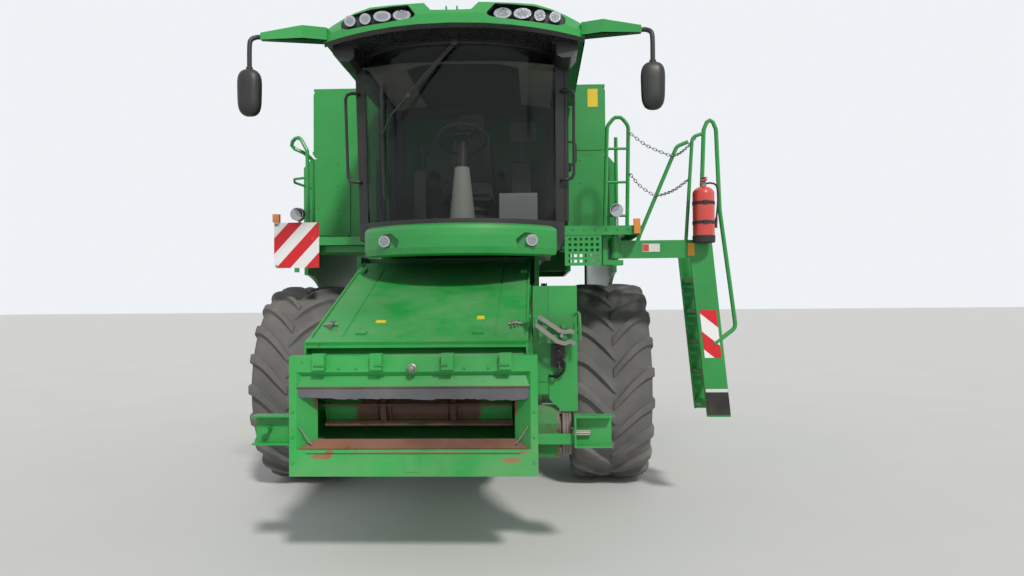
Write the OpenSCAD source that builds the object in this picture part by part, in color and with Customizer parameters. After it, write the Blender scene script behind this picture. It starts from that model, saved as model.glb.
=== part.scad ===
// Combine harvester without its header, built in millimetres.
// The datum is the ground below the middle of the front axle: forward is -Y, up is +Z and
// the machine's left side is +X. The last step moves that datum so that the origin is the
// middle of the ground rectangle that the whole machine covers.

/* [Front wheels] */
// Outer radius of a front tyre at its lug tips
front_tyre_r = 965; // [930:5:1000]
// Width of a front tyre
front_tyre_w = 710; // [660:10:740]
// Distance between the middles of the front tyres
front_track = 2950; // [2900:10:3050]
// Radius of the seat of a front rim
front_rim_r = 406; // [380:1:430]

/* [Rear wheels] */
// Outer radius of a rear tyre at its lug tips
rear_tyre_r = 750; // [700:5:770]
// Width of a rear tyre
rear_tyre_w = 540; // [500:10:560]
// Distance between the middles of the rear tyres
rear_track = 3100; // [3060:10:3160]
// Radius of the seat of a rear rim
rear_rim_r = 356; // [340:1:370]
// Distance from the front axle to the rear axle
wheel_base = 3730; // [3680:10:3800]
// Distance from a kingpin to the middle of its tyre
king_offset = 380; // [370:5:400]

/* [Frame] */
// Height of the underside of the frame rails
rail_z = 1080; // [1060:5:1120]
// Height of a frame rail
rail_h = 160; // [140:5:180]
// Width of a frame rail
rail_w = 140; // [120:5:160]
// Half the distance between the inner faces of the rails
rail_in = 560; // [540:5:580]
// Where the frame starts, ahead of the axle
frame_front = -700; // [-710:5:-690]

/* [Body] */
// Half the width of the threshing body
body_half = 780; // [760:5:800]
// Height of the top of the threshing body
deck_z = 2160; // [2140:5:2180]
// Length of the threshing body
body_l = 5250; // [5200:10:5300]
// Length of the straw hood behind it
hood_l = 1150; // [1100:10:1200]
// Half the width over the side shields
shield_half = 1600; // [1590:5:1640]
// Thickness of a side shield
shield_t = 40; // [30:5:50]
// Height of the top edge of a side shield
shield_top = 2780; // [2760:5:2800]
// Height of the bottom edge of a side shield
shield_bottom = 1340; // [1320:5:1400]

/* [Grain tank] */
// Where the tank's front wall stands
tank_y = 0; // [0:5:30]
// Length of the tank
tank_l = 2350; // [2300:10:2370]
// Half the width of the lower tank
tank_half = 1240; // [1200:5:1260]
// Half the width of the tank's extension
extension_half = 1500; // [1480:5:1520]
// Height at which the extension starts
extension_z = 3240; // [3220:5:3260]
// Height of the tank's rim
tank_top = 3940; // [3900:5:3960]
// Wall of the tank
tank_wall = 40; // [30:5:60]

/* [Unloading auger] */
// Radius of the auger tube
auger_r = 150; // [130:5:155]
// Length of the auger tube from its pivot
auger_l = 6050; // [5900:50:6200]
// Height of the auger tube's middle
auger_z = 3010; // [3000:5:3030]
// Gap between the tank's side and the auger tube
auger_gap = 15; // [12:1:25]
// Distance of the auger's pivot from the front axle
auger_y = 350; // [340:10:380]

/* [Cab] */
// Offset of the cab towards the ladder side
cab_x = 180; // [170:5:190]
// Half the width of the cab at its doors
cab_half = 860; // [850:5:870]
// Height of the cab's sills
sill_z = 2400; // [2380:5:2420]
// Height of the underside of the roof
roof_z = 3720; // [3700:5:3740]
// Radius of the curved windscreen
screen_r = 1150; // [1120:10:1200]
// Most forward point of the windscreen's foot
screen_y = -1850; // [-1870:5:-1840]
// How far the windscreen and the front posts lean forward, in degrees
screen_lean = 6.5; // [5:0.5:7]
// Thickness of the glass
glass_t = 8; // [6:1:12]
// Where the cab's rear wall ends
cab_back = -150; // [-170:5:-140]
// Height of the roof above its underside
roof_h = 245; // [235:5:260]

/* [Feeder house] */
// Slope of the feeder house at rest
feeder_tilt = 20.3; // [19.5:0.1:21]
// Distance of its pivot ahead of the front axle
feeder_pivot_y = -950; // [-960:5:-940]
// Height of its pivot
feeder_pivot_z = 1750; // [1740:5:1760]
// Half the width of the feeder house
feeder_half = 730; // [700:5:740]
// Distance from the pivot line up to its top plate
feeder_up = 370; // [350:5:380]
// Distance from the pivot line down to its floor
feeder_down = 330; // [320:5:340]
// Thickness of its plates
feeder_plate = 12; // [8:1:16]
// Front face of the coupling frame
face_y = -2900; // [-2920:5:-2880]
// Depth of the coupling frame
face_d = 120; // [100:5:130]
// Lowest edge of the coupling frame
face_bottom = 650; // [630:5:660]
// Height of the coupling frame
face_h = 760; // [740:5:780]
// Half the width of the coupling frame
face_half = 790; // [780:5:800]

/* [Lift cylinders] */
// Distance of a lift cylinder from the middle of the machine
lift_x = 575; // [570:5:590]
// Place of its lower pin ahead of the axle
lift_base_y = -350; // [-360:5:-340]
// Height of its lower pin
lift_base_z = 620; // [610:5:640]
// Radius of the cylinder
lift_r = 55; // [50:1:60]
// Radius of the rod
rod_r = 32; // [28:1:36]

/* [Platform and ladder] */
// Height of the platforms' underside
platform_z = 2290; // [2280:5:2300]
// Thickness of the platforms at their edges
platform_t = 75; // [60:5:80]
// Outer edge of the left platform
platform_out = 1640; // [1620:5:1650]
// Outer edge of the right platform
right_out = 1400; // [1380:5:1420]
// Front edge of the platforms
platform_front = -1500; // [-1520:5:-1480]
// Radius of a handrail tube
rail_r = 18; // [16:1:22]
// Place of the ladder's pivot across the machine
ladder_x = 1450; // [1440:5:1460]
// Place of the ladder's pivot along the machine
ladder_y = -1300; // [-1310:5:-1290]
// Reach of the ladder's foot from its pivot
ladder_reach = 940; // [920:5:950]
// Distance between the ladder's stringers
ladder_w = 550; // [520:5:560]
// Height of the ladder's foot
ladder_foot = 780; // [760:5:800]

/* [Rear] */
// Radius of a spreader disc
spreader_r = 375; // [350:5:385]
// Distance of a spreader's axis from the middle
spreader_x = 400; // [395:5:410]

/* [Hidden] */
$fn = 48;

// Colours of the finishes
green = [0.05, 0.42, 0.12];
yellow = [0.95, 0.75, 0.05];
black = [0.03, 0.03, 0.03];
grey = [0.35, 0.35, 0.36];
glass_c = [0.25, 0.3, 0.32, 0.4];
red = [0.75, 0.05, 0.04];
rust = [0.3, 0.12, 0.06];

// Clearances: a seat at rest, a running fit and a moving gap
seat = 0.3;
running = 0.05;
gap = 5;

front_x = front_track / 2;
rear_x = rear_track / 2;
king_x = rear_x - king_offset;
rail_top = rail_z + rail_h;
rail_out = rail_in + rail_w;
body_back = frame_front + body_l;
hood_end = body_back + hood_l;
tank_back = tank_y + tank_l;
auger_x = tank_half + auger_gap + auger_r;
spout_bend = auger_r + 20;
auger_end = auger_y + auger_l;
spout_end = auger_end + spout_bend + auger_r;
face_top = face_bottom + face_h;
face_back = face_y + face_d;
roof_top = roof_z + roof_h;

// The machine's extent, which sets the origin at the middle of the ground it covers
hook_out = 50;
rail_reach = ladder_reach + 70;
far_left = ladder_x + rail_reach;
far_right = -(front_x + front_tyre_w / 2);
shift_x = -(far_left + far_right) / 2;
shift_y = -(spout_end + face_y - hook_out) / 2;

module place() translate([shift_x, shift_y, 0]) children();

// A box from its lowest to its highest corner
module box(lo, hi) translate(lo) cube(hi - lo);

// Round bars along each axis
module bar_x(x0, x1, r, y, z) translate([x0, y, z]) rotate([0, 90, 0]) cylinder(h = x1 - x0, r = r);
module bar_y(y0, y1, r, x, z) translate([x, y0, z]) rotate([-90, 0, 0]) cylinder(h = y1 - y0, r = r);
module bar_z(z0, z1, r, x, y) translate([x, y, z0]) cylinder(h = z1 - z0, r = r);

// Plates: an outline in the side view (y, z) across x, and one in the front view (x, z) along y
module plate_x(x0, x1) translate([x0, 0, 0]) rotate([90, 0, 90]) linear_extrude(x1 - x0) children();
module plate_y(y0, y1) translate([0, y1, 0]) rotate([90, 0, 0]) linear_extrude(y1 - y0) children();

// Both sides of the machine
module both() {
  children();
  mirror([1, 0, 0]) children();
}

// A tube swept along points, with mitred rings
function unit(v) = v / norm(v);
function tangent(p, i) =
  i == 0 ? unit(p[1] - p[0]) :
  i == len(p) - 1 ? unit(p[i] - p[i - 1]) :
  unit(unit(p[i] - p[i - 1]) + unit(p[i + 1] - p[i]));
function across(t) = unit(cross(t, abs(t[2]) < 0.9 ? [0, 0, 1] : [1, 0, 0]));
function carried(p, i) = i == 0 ? across(tangent(p, 0)) :
  let (n = carried(p, i - 1), t = tangent(p, i)) unit(n - t * (n * t));
// A corner of a path turned into an arc of k steps
function arc_points(a, b, c, r, k) =
  let (u = unit(a - b), v = unit(c - b), half = acos(max(-1, min(1, u * v))) / 2,
       d = min(r / tan(half), norm(a - b) * 0.49, norm(c - b) * 0.49),
       m = unit(u + v), o = b + m * (d / cos(half)),
       p = b + u * d - o, q = b + v * d - o)
  [for (i = [0:k]) let (s = i / k, w = unit(p * (1 - s) + q * s)) o + w * norm(p)];
function rounded(pts, r, k = 3) = concat([pts[0]],
  [for (i = [1:len(pts) - 2]) each arc_points(pts[i - 1], pts[i], pts[i + 1], r, k)],
  [pts[len(pts) - 1]]);
// A closed outline with each of its corners turned into an arc
function soft(p, r, k = 4) = [for (i = [0:len(p) - 1])
  each arc_points(p[(i + len(p) - 1) % len(p)], p[i], p[(i + 1) % len(p)], r, k)];
module pipe(pts, r, sides = 8) {
  n = len(pts);
  rings = [for (i = [0:n - 1])
    let (t = tangent(pts, i), a = carried(pts, i), b = cross(t, a))
    for (k = [0:sides - 1]) pts[i] + r * (a * cos(360 * k / sides) + b * sin(360 * k / sides))];
  walls = [for (i = [0:n - 2], k = [0:sides - 1])
    let (k2 = (k + 1) % sides) [i * sides + k, (i + 1) * sides + k, (i + 1) * sides + k2, i * sides + k2]];
  polyhedron(rings, concat(walls, [[for (k = [0:sides - 1]) k]],
    [[for (k = [sides - 1:-1:0]) (n - 1) * sides + k]]));
}

// A solid through flat closed rings of equal length
module loft(rings) {
  n = len(rings);
  m = len(rings[0]);
  polyhedron([for (r = rings) each r], concat(
    [for (i = [0:n - 2], k = [0:m - 1])
      let (k2 = (k + 1) % m) each [[i * m + k, (i + 1) * m + k2, (i + 1) * m + k], [i * m + k, i * m + k2, (i + 1) * m + k2]]],
    [[for (k = [0:m - 1]) m - 1 - k]], [[for (k = [0:m - 1]) (n - 1) * m + k]]));
}

// Frame and axles

swing_z = 980;
swing_pin_r = 40;
axle_beam_z = 660;
axle_beam_top = 840;
hitch_y = 4960;
hitch_z = 680;
hitch_r = 16;
module main_frame() color(green) difference() {
  union() {
    both() difference() {
      box([rail_in, frame_front + 60, rail_z], [rail_out, body_back, rail_top]);
      // The rails are channels, open to the outside
      box([rail_in + 16, frame_front + 59, rail_z + 16], [rail_out + 1, body_back + 1, rail_top - 16]);
    }
    for (y = [frame_front + 60, 1500, wheel_base - 130])
      box([-rail_in, y, rail_z], [rail_in, y + 260, rail_top]);
    // Clevis plates under the last cross member, with the rear axle's swing pin
    for (y = [wheel_base - 130, wheel_base + 100])
      plate_y(y, y + 30) polygon([[-190, rail_z + 1], [-70, swing_z - 75], [70, swing_z - 75], [190, rail_z + 1]]);
    bar_y(wheel_base - 130, wheel_base + 130, swing_pin_r, 0, swing_z);
    // The drawbar under the straw hood, with its pin hole
    plate_x(-50, 50) polygon([[wheel_base + 130, rail_z + 1], [wheel_base + 430, rail_z + 1], [hitch_y - 90, hitch_z + 40],
      [hitch_y + 45, hitch_z + 40], [hitch_y + 45, hitch_z - 40], [hitch_y - 90, hitch_z - 40], [wheel_base + 430, rail_z - 90], [wheel_base + 130, rail_z - 90]]);
  }
  bar_z(hitch_z - 60, hitch_z + 60, hitch_r, 0, hitch_y);
}

axle_half = 700;
drive_r = 240;
drive_end = 1060;
hub_face = 1100;
spindle_r = 90;
spindle_end = 1330;
ear_in = 45;
pin_r = 24;
module front_axle() color(green) {
  plate_y(-150, 150) polygon([[-axle_half, 800], [-300, 770], [300, 770], [axle_half, 800],
    [axle_half, 1040], [rail_out, rail_z], [-rail_out, rail_z], [-axle_half, 1040]]);
  // The gearbox between the final drives
  box([-230, 149, 800], [230, 400, rail_z]);
  bar_x(-330, 330, 110, 290, 930);
  both() {
    bar_x(axle_half, drive_end, drive_r, 0, front_tyre_r);
    bar_x(axle_half + 90, axle_half + 130, drive_r + 35, 0, front_tyre_r);
    bar_x(drive_end, hub_face, 170, 0, front_tyre_r);
    bar_x(hub_face, spindle_end, spindle_r, 0, front_tyre_r);
    // Ears that carry a lift cylinder's lower pin
    for (x = [lift_x - ear_in - 30, lift_x + ear_in])
      plate_x(x, x + 30) polygon([[150, 801], [150, 720], [lift_base_y + 60, lift_base_z - 60],
        [lift_base_y - 60, lift_base_z - 60], [lift_base_y - 60, lift_base_z + 60], [-140, 900], [-140, 801]]);
    bar_x(lift_x - ear_in - 1, lift_x + ear_in + 1, pin_r, lift_base_y, lift_base_z);
  }
}

king_r = 35;
boss_r = 75;
boss_z = 620;
boss_top = 880;
arm_z = boss_top + 2;
arm_l = 330;
steer_z = arm_z - 32;
steer_rod_r = 20;
module rear_axle() color(green) difference() {
  union() {
    plate_y(wheel_base - 90, wheel_base + 90) polygon([[-king_x, axle_beam_z + 40], [-king_x + 400, axle_beam_z], [king_x - 400, axle_beam_z],
      [king_x, axle_beam_z + 40], [king_x, axle_beam_top], [-king_x, axle_beam_top]]);
    both() bar_z(boss_z, boss_top, boss_r, king_x, wheel_base);
    // The hanger that swings between the frame's clevis plates
    box([-70, wheel_base - 94, axle_beam_top - 20], [70, wheel_base + 94, swing_z]);
    bar_y(wheel_base - 94, wheel_base + 94, 70, 0, swing_z);
    // The steering cylinder behind the beam, on two brackets
    bar_x(-330, 330, 46, wheel_base + arm_l, steer_z);
    both() plate_x(240, 270) polygon([[wheel_base + 89, axle_beam_z + 20], [wheel_base + 89, axle_beam_top],
      [wheel_base + arm_l, steer_z + 30], [wheel_base + arm_l, steer_z - 30]]);
  }
  bar_y(wheel_base - 95, wheel_base + 95, swing_pin_r + running, 0, swing_z);
  bar_x(-331, 331, steer_rod_r + running, wheel_base + arm_l, steer_z);
  both() bar_z(boss_z - 1, boss_top + 1, king_r + running, king_x, wheel_base);
}

// Wheels, drawn about their own middle with the axis along x and the outside at +x

module rim(seat_r, w, hub_in, hub_out, bore, hub_r, disc_in, hole_r) {
  half = w / 2 - 35;
  disc_r = (hub_r + seat_r) / 2;
  difference() {
    rotate([0, 90, 0]) rotate_extrude($fn = 96) {
      translate([seat_r - 20, -half]) square([20, 2 * half]);
      for (s = [-half, half - 20]) translate([seat_r - 20, s]) square([50, 20]);
      for (s = [-half * 0.55, half * 0.45]) translate([seat_r - 34, s]) square([15, 30]);
      polygon([[hub_r - 20, disc_in], [hub_r + 40, disc_in], [seat_r - 60, disc_in + 45], [seat_r - 19, disc_in + 45],
        [seat_r - 19, disc_in + 65], [seat_r - 66, disc_in + 65], [hub_r + 36, disc_in + 25], [hub_r - 20, disc_in + 25]]);
      translate([bore, hub_in]) square([hub_r - bore, hub_out - hub_in]);
    }
    for (i = [0:7]) rotate([i * 45, 0, 0]) bar_x(disc_in - 10, disc_in + 80, hole_r, 0, disc_r);
  }
}

// A tyre as one swept section. Its bars lead up from the middle to the shoulder on the
// tyre's front, and the two sides' bars stand half a pitch apart.
module tyre(r, w, seat_r, bars, depth) {
  half = w / 2;
  n = 4 * bars;
  pitch = 360 / bars;
  section = r - seat_r;
  bead = [half - 68, (seat_r + seat) / cos(0.22 * pitch)];
  bulge = [half * 0.985, seat_r + section * 0.45];
  share = [[0, 0.36, 0.46, 0.90], [-0.04, 0.40, 0.50, 0.86]];
  bar = [[1, 1, 0, 0], [0, 0, 1, 1]];
  // Rows from the bead to the nose: between the bars, on a bar, and the lead in pitches
  rows = [
    [bead, bead, 0.75],
    [bulge, bulge, 0.75],
    [[half * 0.95, r - depth * 1.75], [half, r - depth * 1.4], 0.75],
    [[half * 0.88, r - depth * 1.35], [half * 0.92, r - depth * 0.45], 0.66],
    [[half * 0.12, r - depth], [half * 0.10, r], 0.05]];
  ring = function (side, row) [for (i = [0:n - 1]) let (s = i % 4,
    p = rows[row][bar[side][s]], a = -90 + pitch * (floor(i / 4) + share[side][s] + rows[row][2] - 0.05))
    [(side * 2 - 1) * p[0], -p[1] * cos(a), p[1] * sin(a)]];
  middle = [for (i = [0:n - 1]) let (a = -90 + pitch * i / 4) [0, -(r - depth) * cos(a), (r - depth) * sin(a)]];
  rings = concat([for (row = [0:4]) ring(0, row)], [middle], [for (row = [4:-1:0]) ring(1, row)]);
  m = len(rings);
  polyhedron([for (q = rings) each q], [for (j = [0:m - 1], i = [0:n - 1])
    let (j2 = (j + 1) % m, i2 = (i + 1) % n, a = j * n + i, b = j * n + i2, c = j2 * n + i2, d = j2 * n + i)
    each [[a, b, c], [a, c, d]]]);
}

module front_wheel_place(side) translate([side * front_x, 0, front_tyre_r]) rotate([0, 0, side > 0 ? 0 : 180]) children();
module rear_wheel_place(side) translate([side * rear_x, wheel_base, rear_tyre_r]) rotate([0, 0, side > 0 ? 0 : 180]) children();

module front_rim(side) color(yellow) front_wheel_place(side)
  rim(front_rim_r, front_tyre_w, hub_face + seat - front_x, spindle_end - 20 - front_x, spindle_r + running, 160, -215, 42);
module front_tyre(side) color(black) translate([side * front_x, 0, front_tyre_r])
  tyre(front_tyre_r, front_tyre_w, front_rim_r, 18, 65);

knuckle_face = king_x + 130;
rear_spindle_r = 55;
rear_spindle_end = knuckle_face + 170;
module rear_rim(side) color(yellow) rear_wheel_place(side)
  rim(rear_rim_r, rear_tyre_w, knuckle_face + 8 + seat - rear_x, rear_spindle_end - 20 - rear_x, rear_spindle_r + running, 110, -180, 36);
module rear_tyre(side) color(black) translate([side * rear_x, wheel_base, rear_tyre_r])
  tyre(rear_tyre_r, rear_tyre_w, rear_rim_r, 15, 45);

// A steering knuckle: a fork over the axle's boss, its kingpin, spindle and steering arm
module knuckle(side) color(green) mirror([side > 0 ? 0 : 1, 0, 0]) translate([king_x, wheel_base, 0]) {
  fork = knuckle_face - king_x;
  for (z = [boss_z - 42, arm_z]) {
    bar_z(z, z + 40, boss_r, 0, 0);
    box([0, -70, z], [fork, 70, z + 40]);
  }
  bar_z(boss_z - 3, arm_z + 1, king_r, 0, 0);
  box([boss_r + gap, -70, boss_z - 42], [fork, 70, arm_z + 40]);
  bar_x(fork, fork + 8, 100, 0, rear_tyre_r);
  bar_x(fork, rear_spindle_end - king_x, rear_spindle_r, 0, rear_tyre_r);
  plate_z(arm_z, 40) polygon([[-45, 0], [45, 0], [30, arm_l], [-30, arm_l]]);
  bar_z(arm_z, arm_z + 40, 40, 0, arm_l);
}
module plate_z(z, h) translate([0, 0, z]) linear_extrude(h) children();

module tie_rod() color(grey) {
  bar_x(-king_x + 12, king_x - 12, steer_rod_r, wheel_base + arm_l, steer_z);
  both() {
    bar_z(arm_z - 60, arm_z - gap, 38, king_x, wheel_base + arm_l);
    bar_x(king_x - 150, king_x - 11, steer_rod_r + 4, wheel_base + arm_l, steer_z);
  }
}

// Threshing body, with the cheeks that carry the feeder house's pivot

cheek_in = feeder_half + 40;
cheek_t = 40;
pivot_r = 60;
// A pulley's place [y, z, radius] on each side of the body
pulleys = [[1500, 1720, 260], [2950, 1520, 150], [4150, 1800, 210]];
module belt_loop(a, b, more) hull() {
  translate([a[0], a[1]]) circle(a[2] + more, $fn = 32);
  translate([b[0], b[1]]) circle(b[2] + more, $fn = 32);
}
module threshing_body() color(green) {
  box([-body_half, frame_front, rail_top], [body_half, body_back, deck_z]);
  both() {
    difference() {
      plate_x(cheek_in, cheek_in + cheek_t) polygon([
        [frame_front + 60, rail_top], [frame_front + 60, deck_z], [feeder_pivot_y - 60, deck_z],
        [feeder_pivot_y - 110, feeder_pivot_z], [feeder_pivot_y - 60, feeder_pivot_z - 110], [feeder_pivot_y + 60, feeder_pivot_z - 160]]);
      bar_x(cheek_in - 1, cheek_in + cheek_t + 1, pivot_r + running, feeder_pivot_y, feeder_pivot_z);
    }
    box([body_half - 1, frame_front, rail_top], [cheek_in + cheek_t, frame_front + 60, deck_z]);
    // Stiffening ribs along the sheets
    for (y = [1150:700:body_back - 200]) box([body_half - 1, y, rail_top + 40], [body_half + 18, y + 50, deck_z - 40]);
    // Pulleys and the belts between them
    for (p = pulleys) {
      bar_x(body_half - 1, body_half + 150, 35, p[0], p[1]);
      bar_x(body_half + 60, body_half + 72, p[2], p[0], p[1]);
      bar_x(body_half + 118, body_half + 130, p[2], p[0], p[1]);
      bar_x(body_half + 70, body_half + 120, p[2] - 17, p[0], p[1]);
    }
  }
  for (i = [0:1]) plate_x(body_half + 76, body_half + 114) difference() {
    belt_loop(pulleys[i], pulleys[i + 1], -4);
    belt_loop(pulleys[i], pulleys[i + 1], -18);
  }
  // The clean grain elevator on the right side
  box([-body_half - 150, 2420, 900], [-body_half - 20, 2660, deck_z + 60]);
  bar_x(-body_half - 150, -body_half - 20, 120, 2540, 900);
  box([-body_half - 21, 2440, rail_top + 60], [-body_half + 1, 2640, rail_top + 260]);
}

shoe_half = 700;
module cleaning_shoe() color(green) {
  plate_x(-shoe_half, shoe_half) polygon([[600, rail_z], [720, 820], [2400, 760], [2800, 900], [2950, rail_z]]);
  // Troughs of the cross augers and ribs along the side sheets
  for (y = [1000, 2200]) bar_x(-shoe_half - 30, shoe_half + 30, 130, y, 830);
  both() for (y = [1250:350:2000]) box([shoe_half - 1, y, 830], [shoe_half + 14, y + 40, rail_z]);
}

slope_z = 2680;
cover_pin_r = 6;
barrel_r = 12;
cover_hinge_x = extension_half + barrel_r + 2;
cover_hinge_z = tank_top + barrel_r;
cover_hinges = [tank_y + 350, tank_back - 350];
shield_hinge_x = shield_half - shield_t / 2;
shield_hinge_z = shield_top + barrel_r + 3;
shield_hinges = [tank_y + 720, tank_back - 200, tank_back + 2050];
// A shield's or cover's hinge: two lugs with the pin between them, carried by an arm
module hinge_lugs(y, x, z) {
  bar_y(y - 85, y + 85, cover_pin_r, x, z);
  for (s = [y - 85, y + 65]) bar_y(s, s + 20, barrel_r, x, z);
}
module shield_arm(y) {
  hinge_lugs(y, shield_hinge_x, shield_hinge_z);
  for (s = [y - 85, y + 65]) box([tank_half - 1, s, shield_hinge_z - 10], [shield_hinge_x, s + 20, shield_hinge_z + barrel_r]);
  box([tank_half - 1, y - 85, shield_hinge_z - 10], [shield_hinge_x - 40, y + 85, shield_hinge_z]);
}
module grain_tank() color(green) {
  difference() {
    union() {
      plate_y(tank_y, tank_back) polygon([
        [-body_half + 20, deck_z], [body_half - 20, deck_z], [tank_half, slope_z], [tank_half, extension_z + 1],
        [-tank_half, extension_z + 1], [-tank_half, slope_z]]);
      plate_y(tank_y, tank_back) polygon(soft([[-extension_half, extension_z], [extension_half, extension_z],
        [extension_half, tank_top], [-extension_half, tank_top]], 45));
      // A rolled lip under the extension and ribs down the long sides
      both() box([extension_half - 1, tank_y, extension_z + 45], [extension_half + 10, tank_back, extension_z + 75]);
      both() for (y = [tank_y + 180:390:tank_back - 100])
        box([extension_half - 1, y, extension_z + 74], [extension_half + 10, y + 40, tank_top - 60]);
      // The unloading auger's fixed elbow
      bar_x(tank_half - 200, auger_x, auger_r - 10, auger_y, 2500);
      translate([auger_x, auger_y, 2500]) sphere(auger_r - 10);
      bar_z(2500, auger_z - auger_r - 25 - seat, auger_r - 10, auger_x, auger_y);
      bar_z(auger_z - auger_r - 60, auger_z - auger_r - 25 - seat, auger_r + 5, auger_x, auger_y);
    }
    plate_y(tank_y + tank_wall, tank_back - tank_wall) polygon([
      [-400, deck_z + 60], [400, deck_z + 60], [tank_half - tank_wall, slope_z + 60],
      [tank_half - tank_wall, tank_top], [-tank_half + tank_wall, tank_top], [-tank_half + tank_wall, slope_z + 60]]);
    box([-extension_half + tank_wall, tank_y + tank_wall, extension_z + tank_wall],
      [extension_half - tank_wall, tank_back - tank_wall, tank_top + 1]);
  }
  both() {
    for (y = cover_hinges) {
      hinge_lugs(y, cover_hinge_x, cover_hinge_z);
      for (s = [y - 85, y + 65]) box([extension_half - 1, s, tank_top - 60], [cover_hinge_x + 4, s + 20, cover_hinge_z]);
    }
    for (i = [0:1]) shield_arm(shield_hinges[i]);
  }
  // The cross beams that stiffen the tank inside, and the left inspection hatch's frame
  for (y = [tank_y + 780, tank_y + 1560]) bar_x(-tank_half + 10, tank_half - 10, 35, y, 3000);
  plate_y(tank_y - 8, tank_y + 1) polygon(soft([[tank_half - 60, extension_z + 50], [extension_half - 20, extension_z + 50],
    [extension_half - 20, tank_top - 50], [tank_half - 60, tank_top - 50]], 40));
}

engine_y = tank_back + 250;
engine_l = 1150;
module engine_block() color(grey) {
  box([-480, engine_y, deck_z + seat], [480, engine_y + engine_l, 2950]);
}

hood_front = tank_back + 1;
hood_back = body_back + 70;
hood_wall = 30;
hood_z = 3400;
screen_hole_r = 500;
screen_hole_y = tank_back + 950;
screen_hole_z = 2800;
fan_pin_r = 30;
module engine_hood() color(green) difference() {
  union() {
    difference() {
      plate_x(-tank_half, tank_half) polygon(concat([[hood_front, deck_z + seat]],
        rounded([[hood_back - 100, deck_z + seat], [hood_back, 2500], [hood_back, 2950], [hood_back - 350, hood_z], [hood_front, hood_z]], 90, 4)));
      plate_x(-tank_half + hood_wall, tank_half - hood_wall) polygon([
        [hood_front + hood_wall, deck_z - 1], [hood_back - 135, deck_z - 1], [hood_back - hood_wall - 5, 2505],
        [hood_back - hood_wall - 5, 2930], [hood_back - 375, hood_z - hood_wall], [hood_front + hood_wall, hood_z - hood_wall]]);
      // The cooling air intake on the right side
      bar_x(-tank_half - 1, -tank_half + hood_wall + 1, screen_hole_r, screen_hole_y, screen_hole_z);
    }
    // The intake's ring, its bearing beam and the screen's pin
    difference() {
      bar_x(-tank_half - 60, -tank_half + 1, screen_hole_r + 45, screen_hole_y, screen_hole_z);
      bar_x(-tank_half - 61, -tank_half + 2, screen_hole_r, screen_hole_y, screen_hole_z);
    }
    box([-tank_half, screen_hole_y - 40, screen_hole_z - screen_hole_r - 5], [-tank_half + hood_wall, screen_hole_y + 40, screen_hole_z + screen_hole_r + 5]);
    bar_x(-tank_half - 50, -tank_half + 1, fan_pin_r, screen_hole_y, screen_hole_z);
    both() shield_arm(shield_hinges[2]);
    // The saddle under the folded unloading auger
    box([tank_half - 1, hood_back - 200, auger_z - auger_r - 60], [auger_x + 60, hood_back - 140, auger_z - auger_r - gap]);
    box([tank_half - 1, hood_back - 200, auger_z - auger_r - 200], [tank_half + 12, hood_back - 140, auger_z - auger_r - gap]);
    // The air cleaner's intake on the deck
    bar_z(hood_z - 1, hood_z + 210, 150, -500, tank_back + 500);
    bar_z(hood_z + 210, hood_z + 270, 185, -500, tank_back + 500);
  }
  // Louvres in the left side and the back
  for (y = [tank_back + 500:230:hood_back - 500], z = [2500:90:2900])
    box([tank_half - hood_wall - 1, y, z], [tank_half + 1, y + 170, z + 40]);
  for (x = [-900:300:600], z = [2560:90:2860]) box([x, hood_back - hood_wall - 10, z], [x + 240, hood_back + 1, z + 40]);
}
// The rotary screen in front of the radiators
module radiator_screen() color(black) translate([-tank_half, screen_hole_y, screen_hole_z]) difference() {
  union() {
    bar_x(-56, -50, screen_hole_r - 15, 0, 0);
    difference() {
      bar_x(-56, -8, screen_hole_r - 15, 0, 0);
      bar_x(-57, -7, screen_hole_r - 27, 0, 0);
    }
    bar_x(-70, -4, 62, 0, 0);
    for (i = [0:7]) rotate([i * 45, 0, 0]) box([-66, 50, -7], [-55, screen_hole_r - 17, 7]);
  }
  bar_x(-51, -3, fan_pin_r + running, 0, 0);
  // The screen's perforation, as rings of slots
  for (i = [0:7], r = [130:75:430]) rotate([i * 45 + 22.5, 0, 0])
    box([-71, r, -r * 0.26], [-49, r + 40, r * 0.26]);
}

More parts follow.
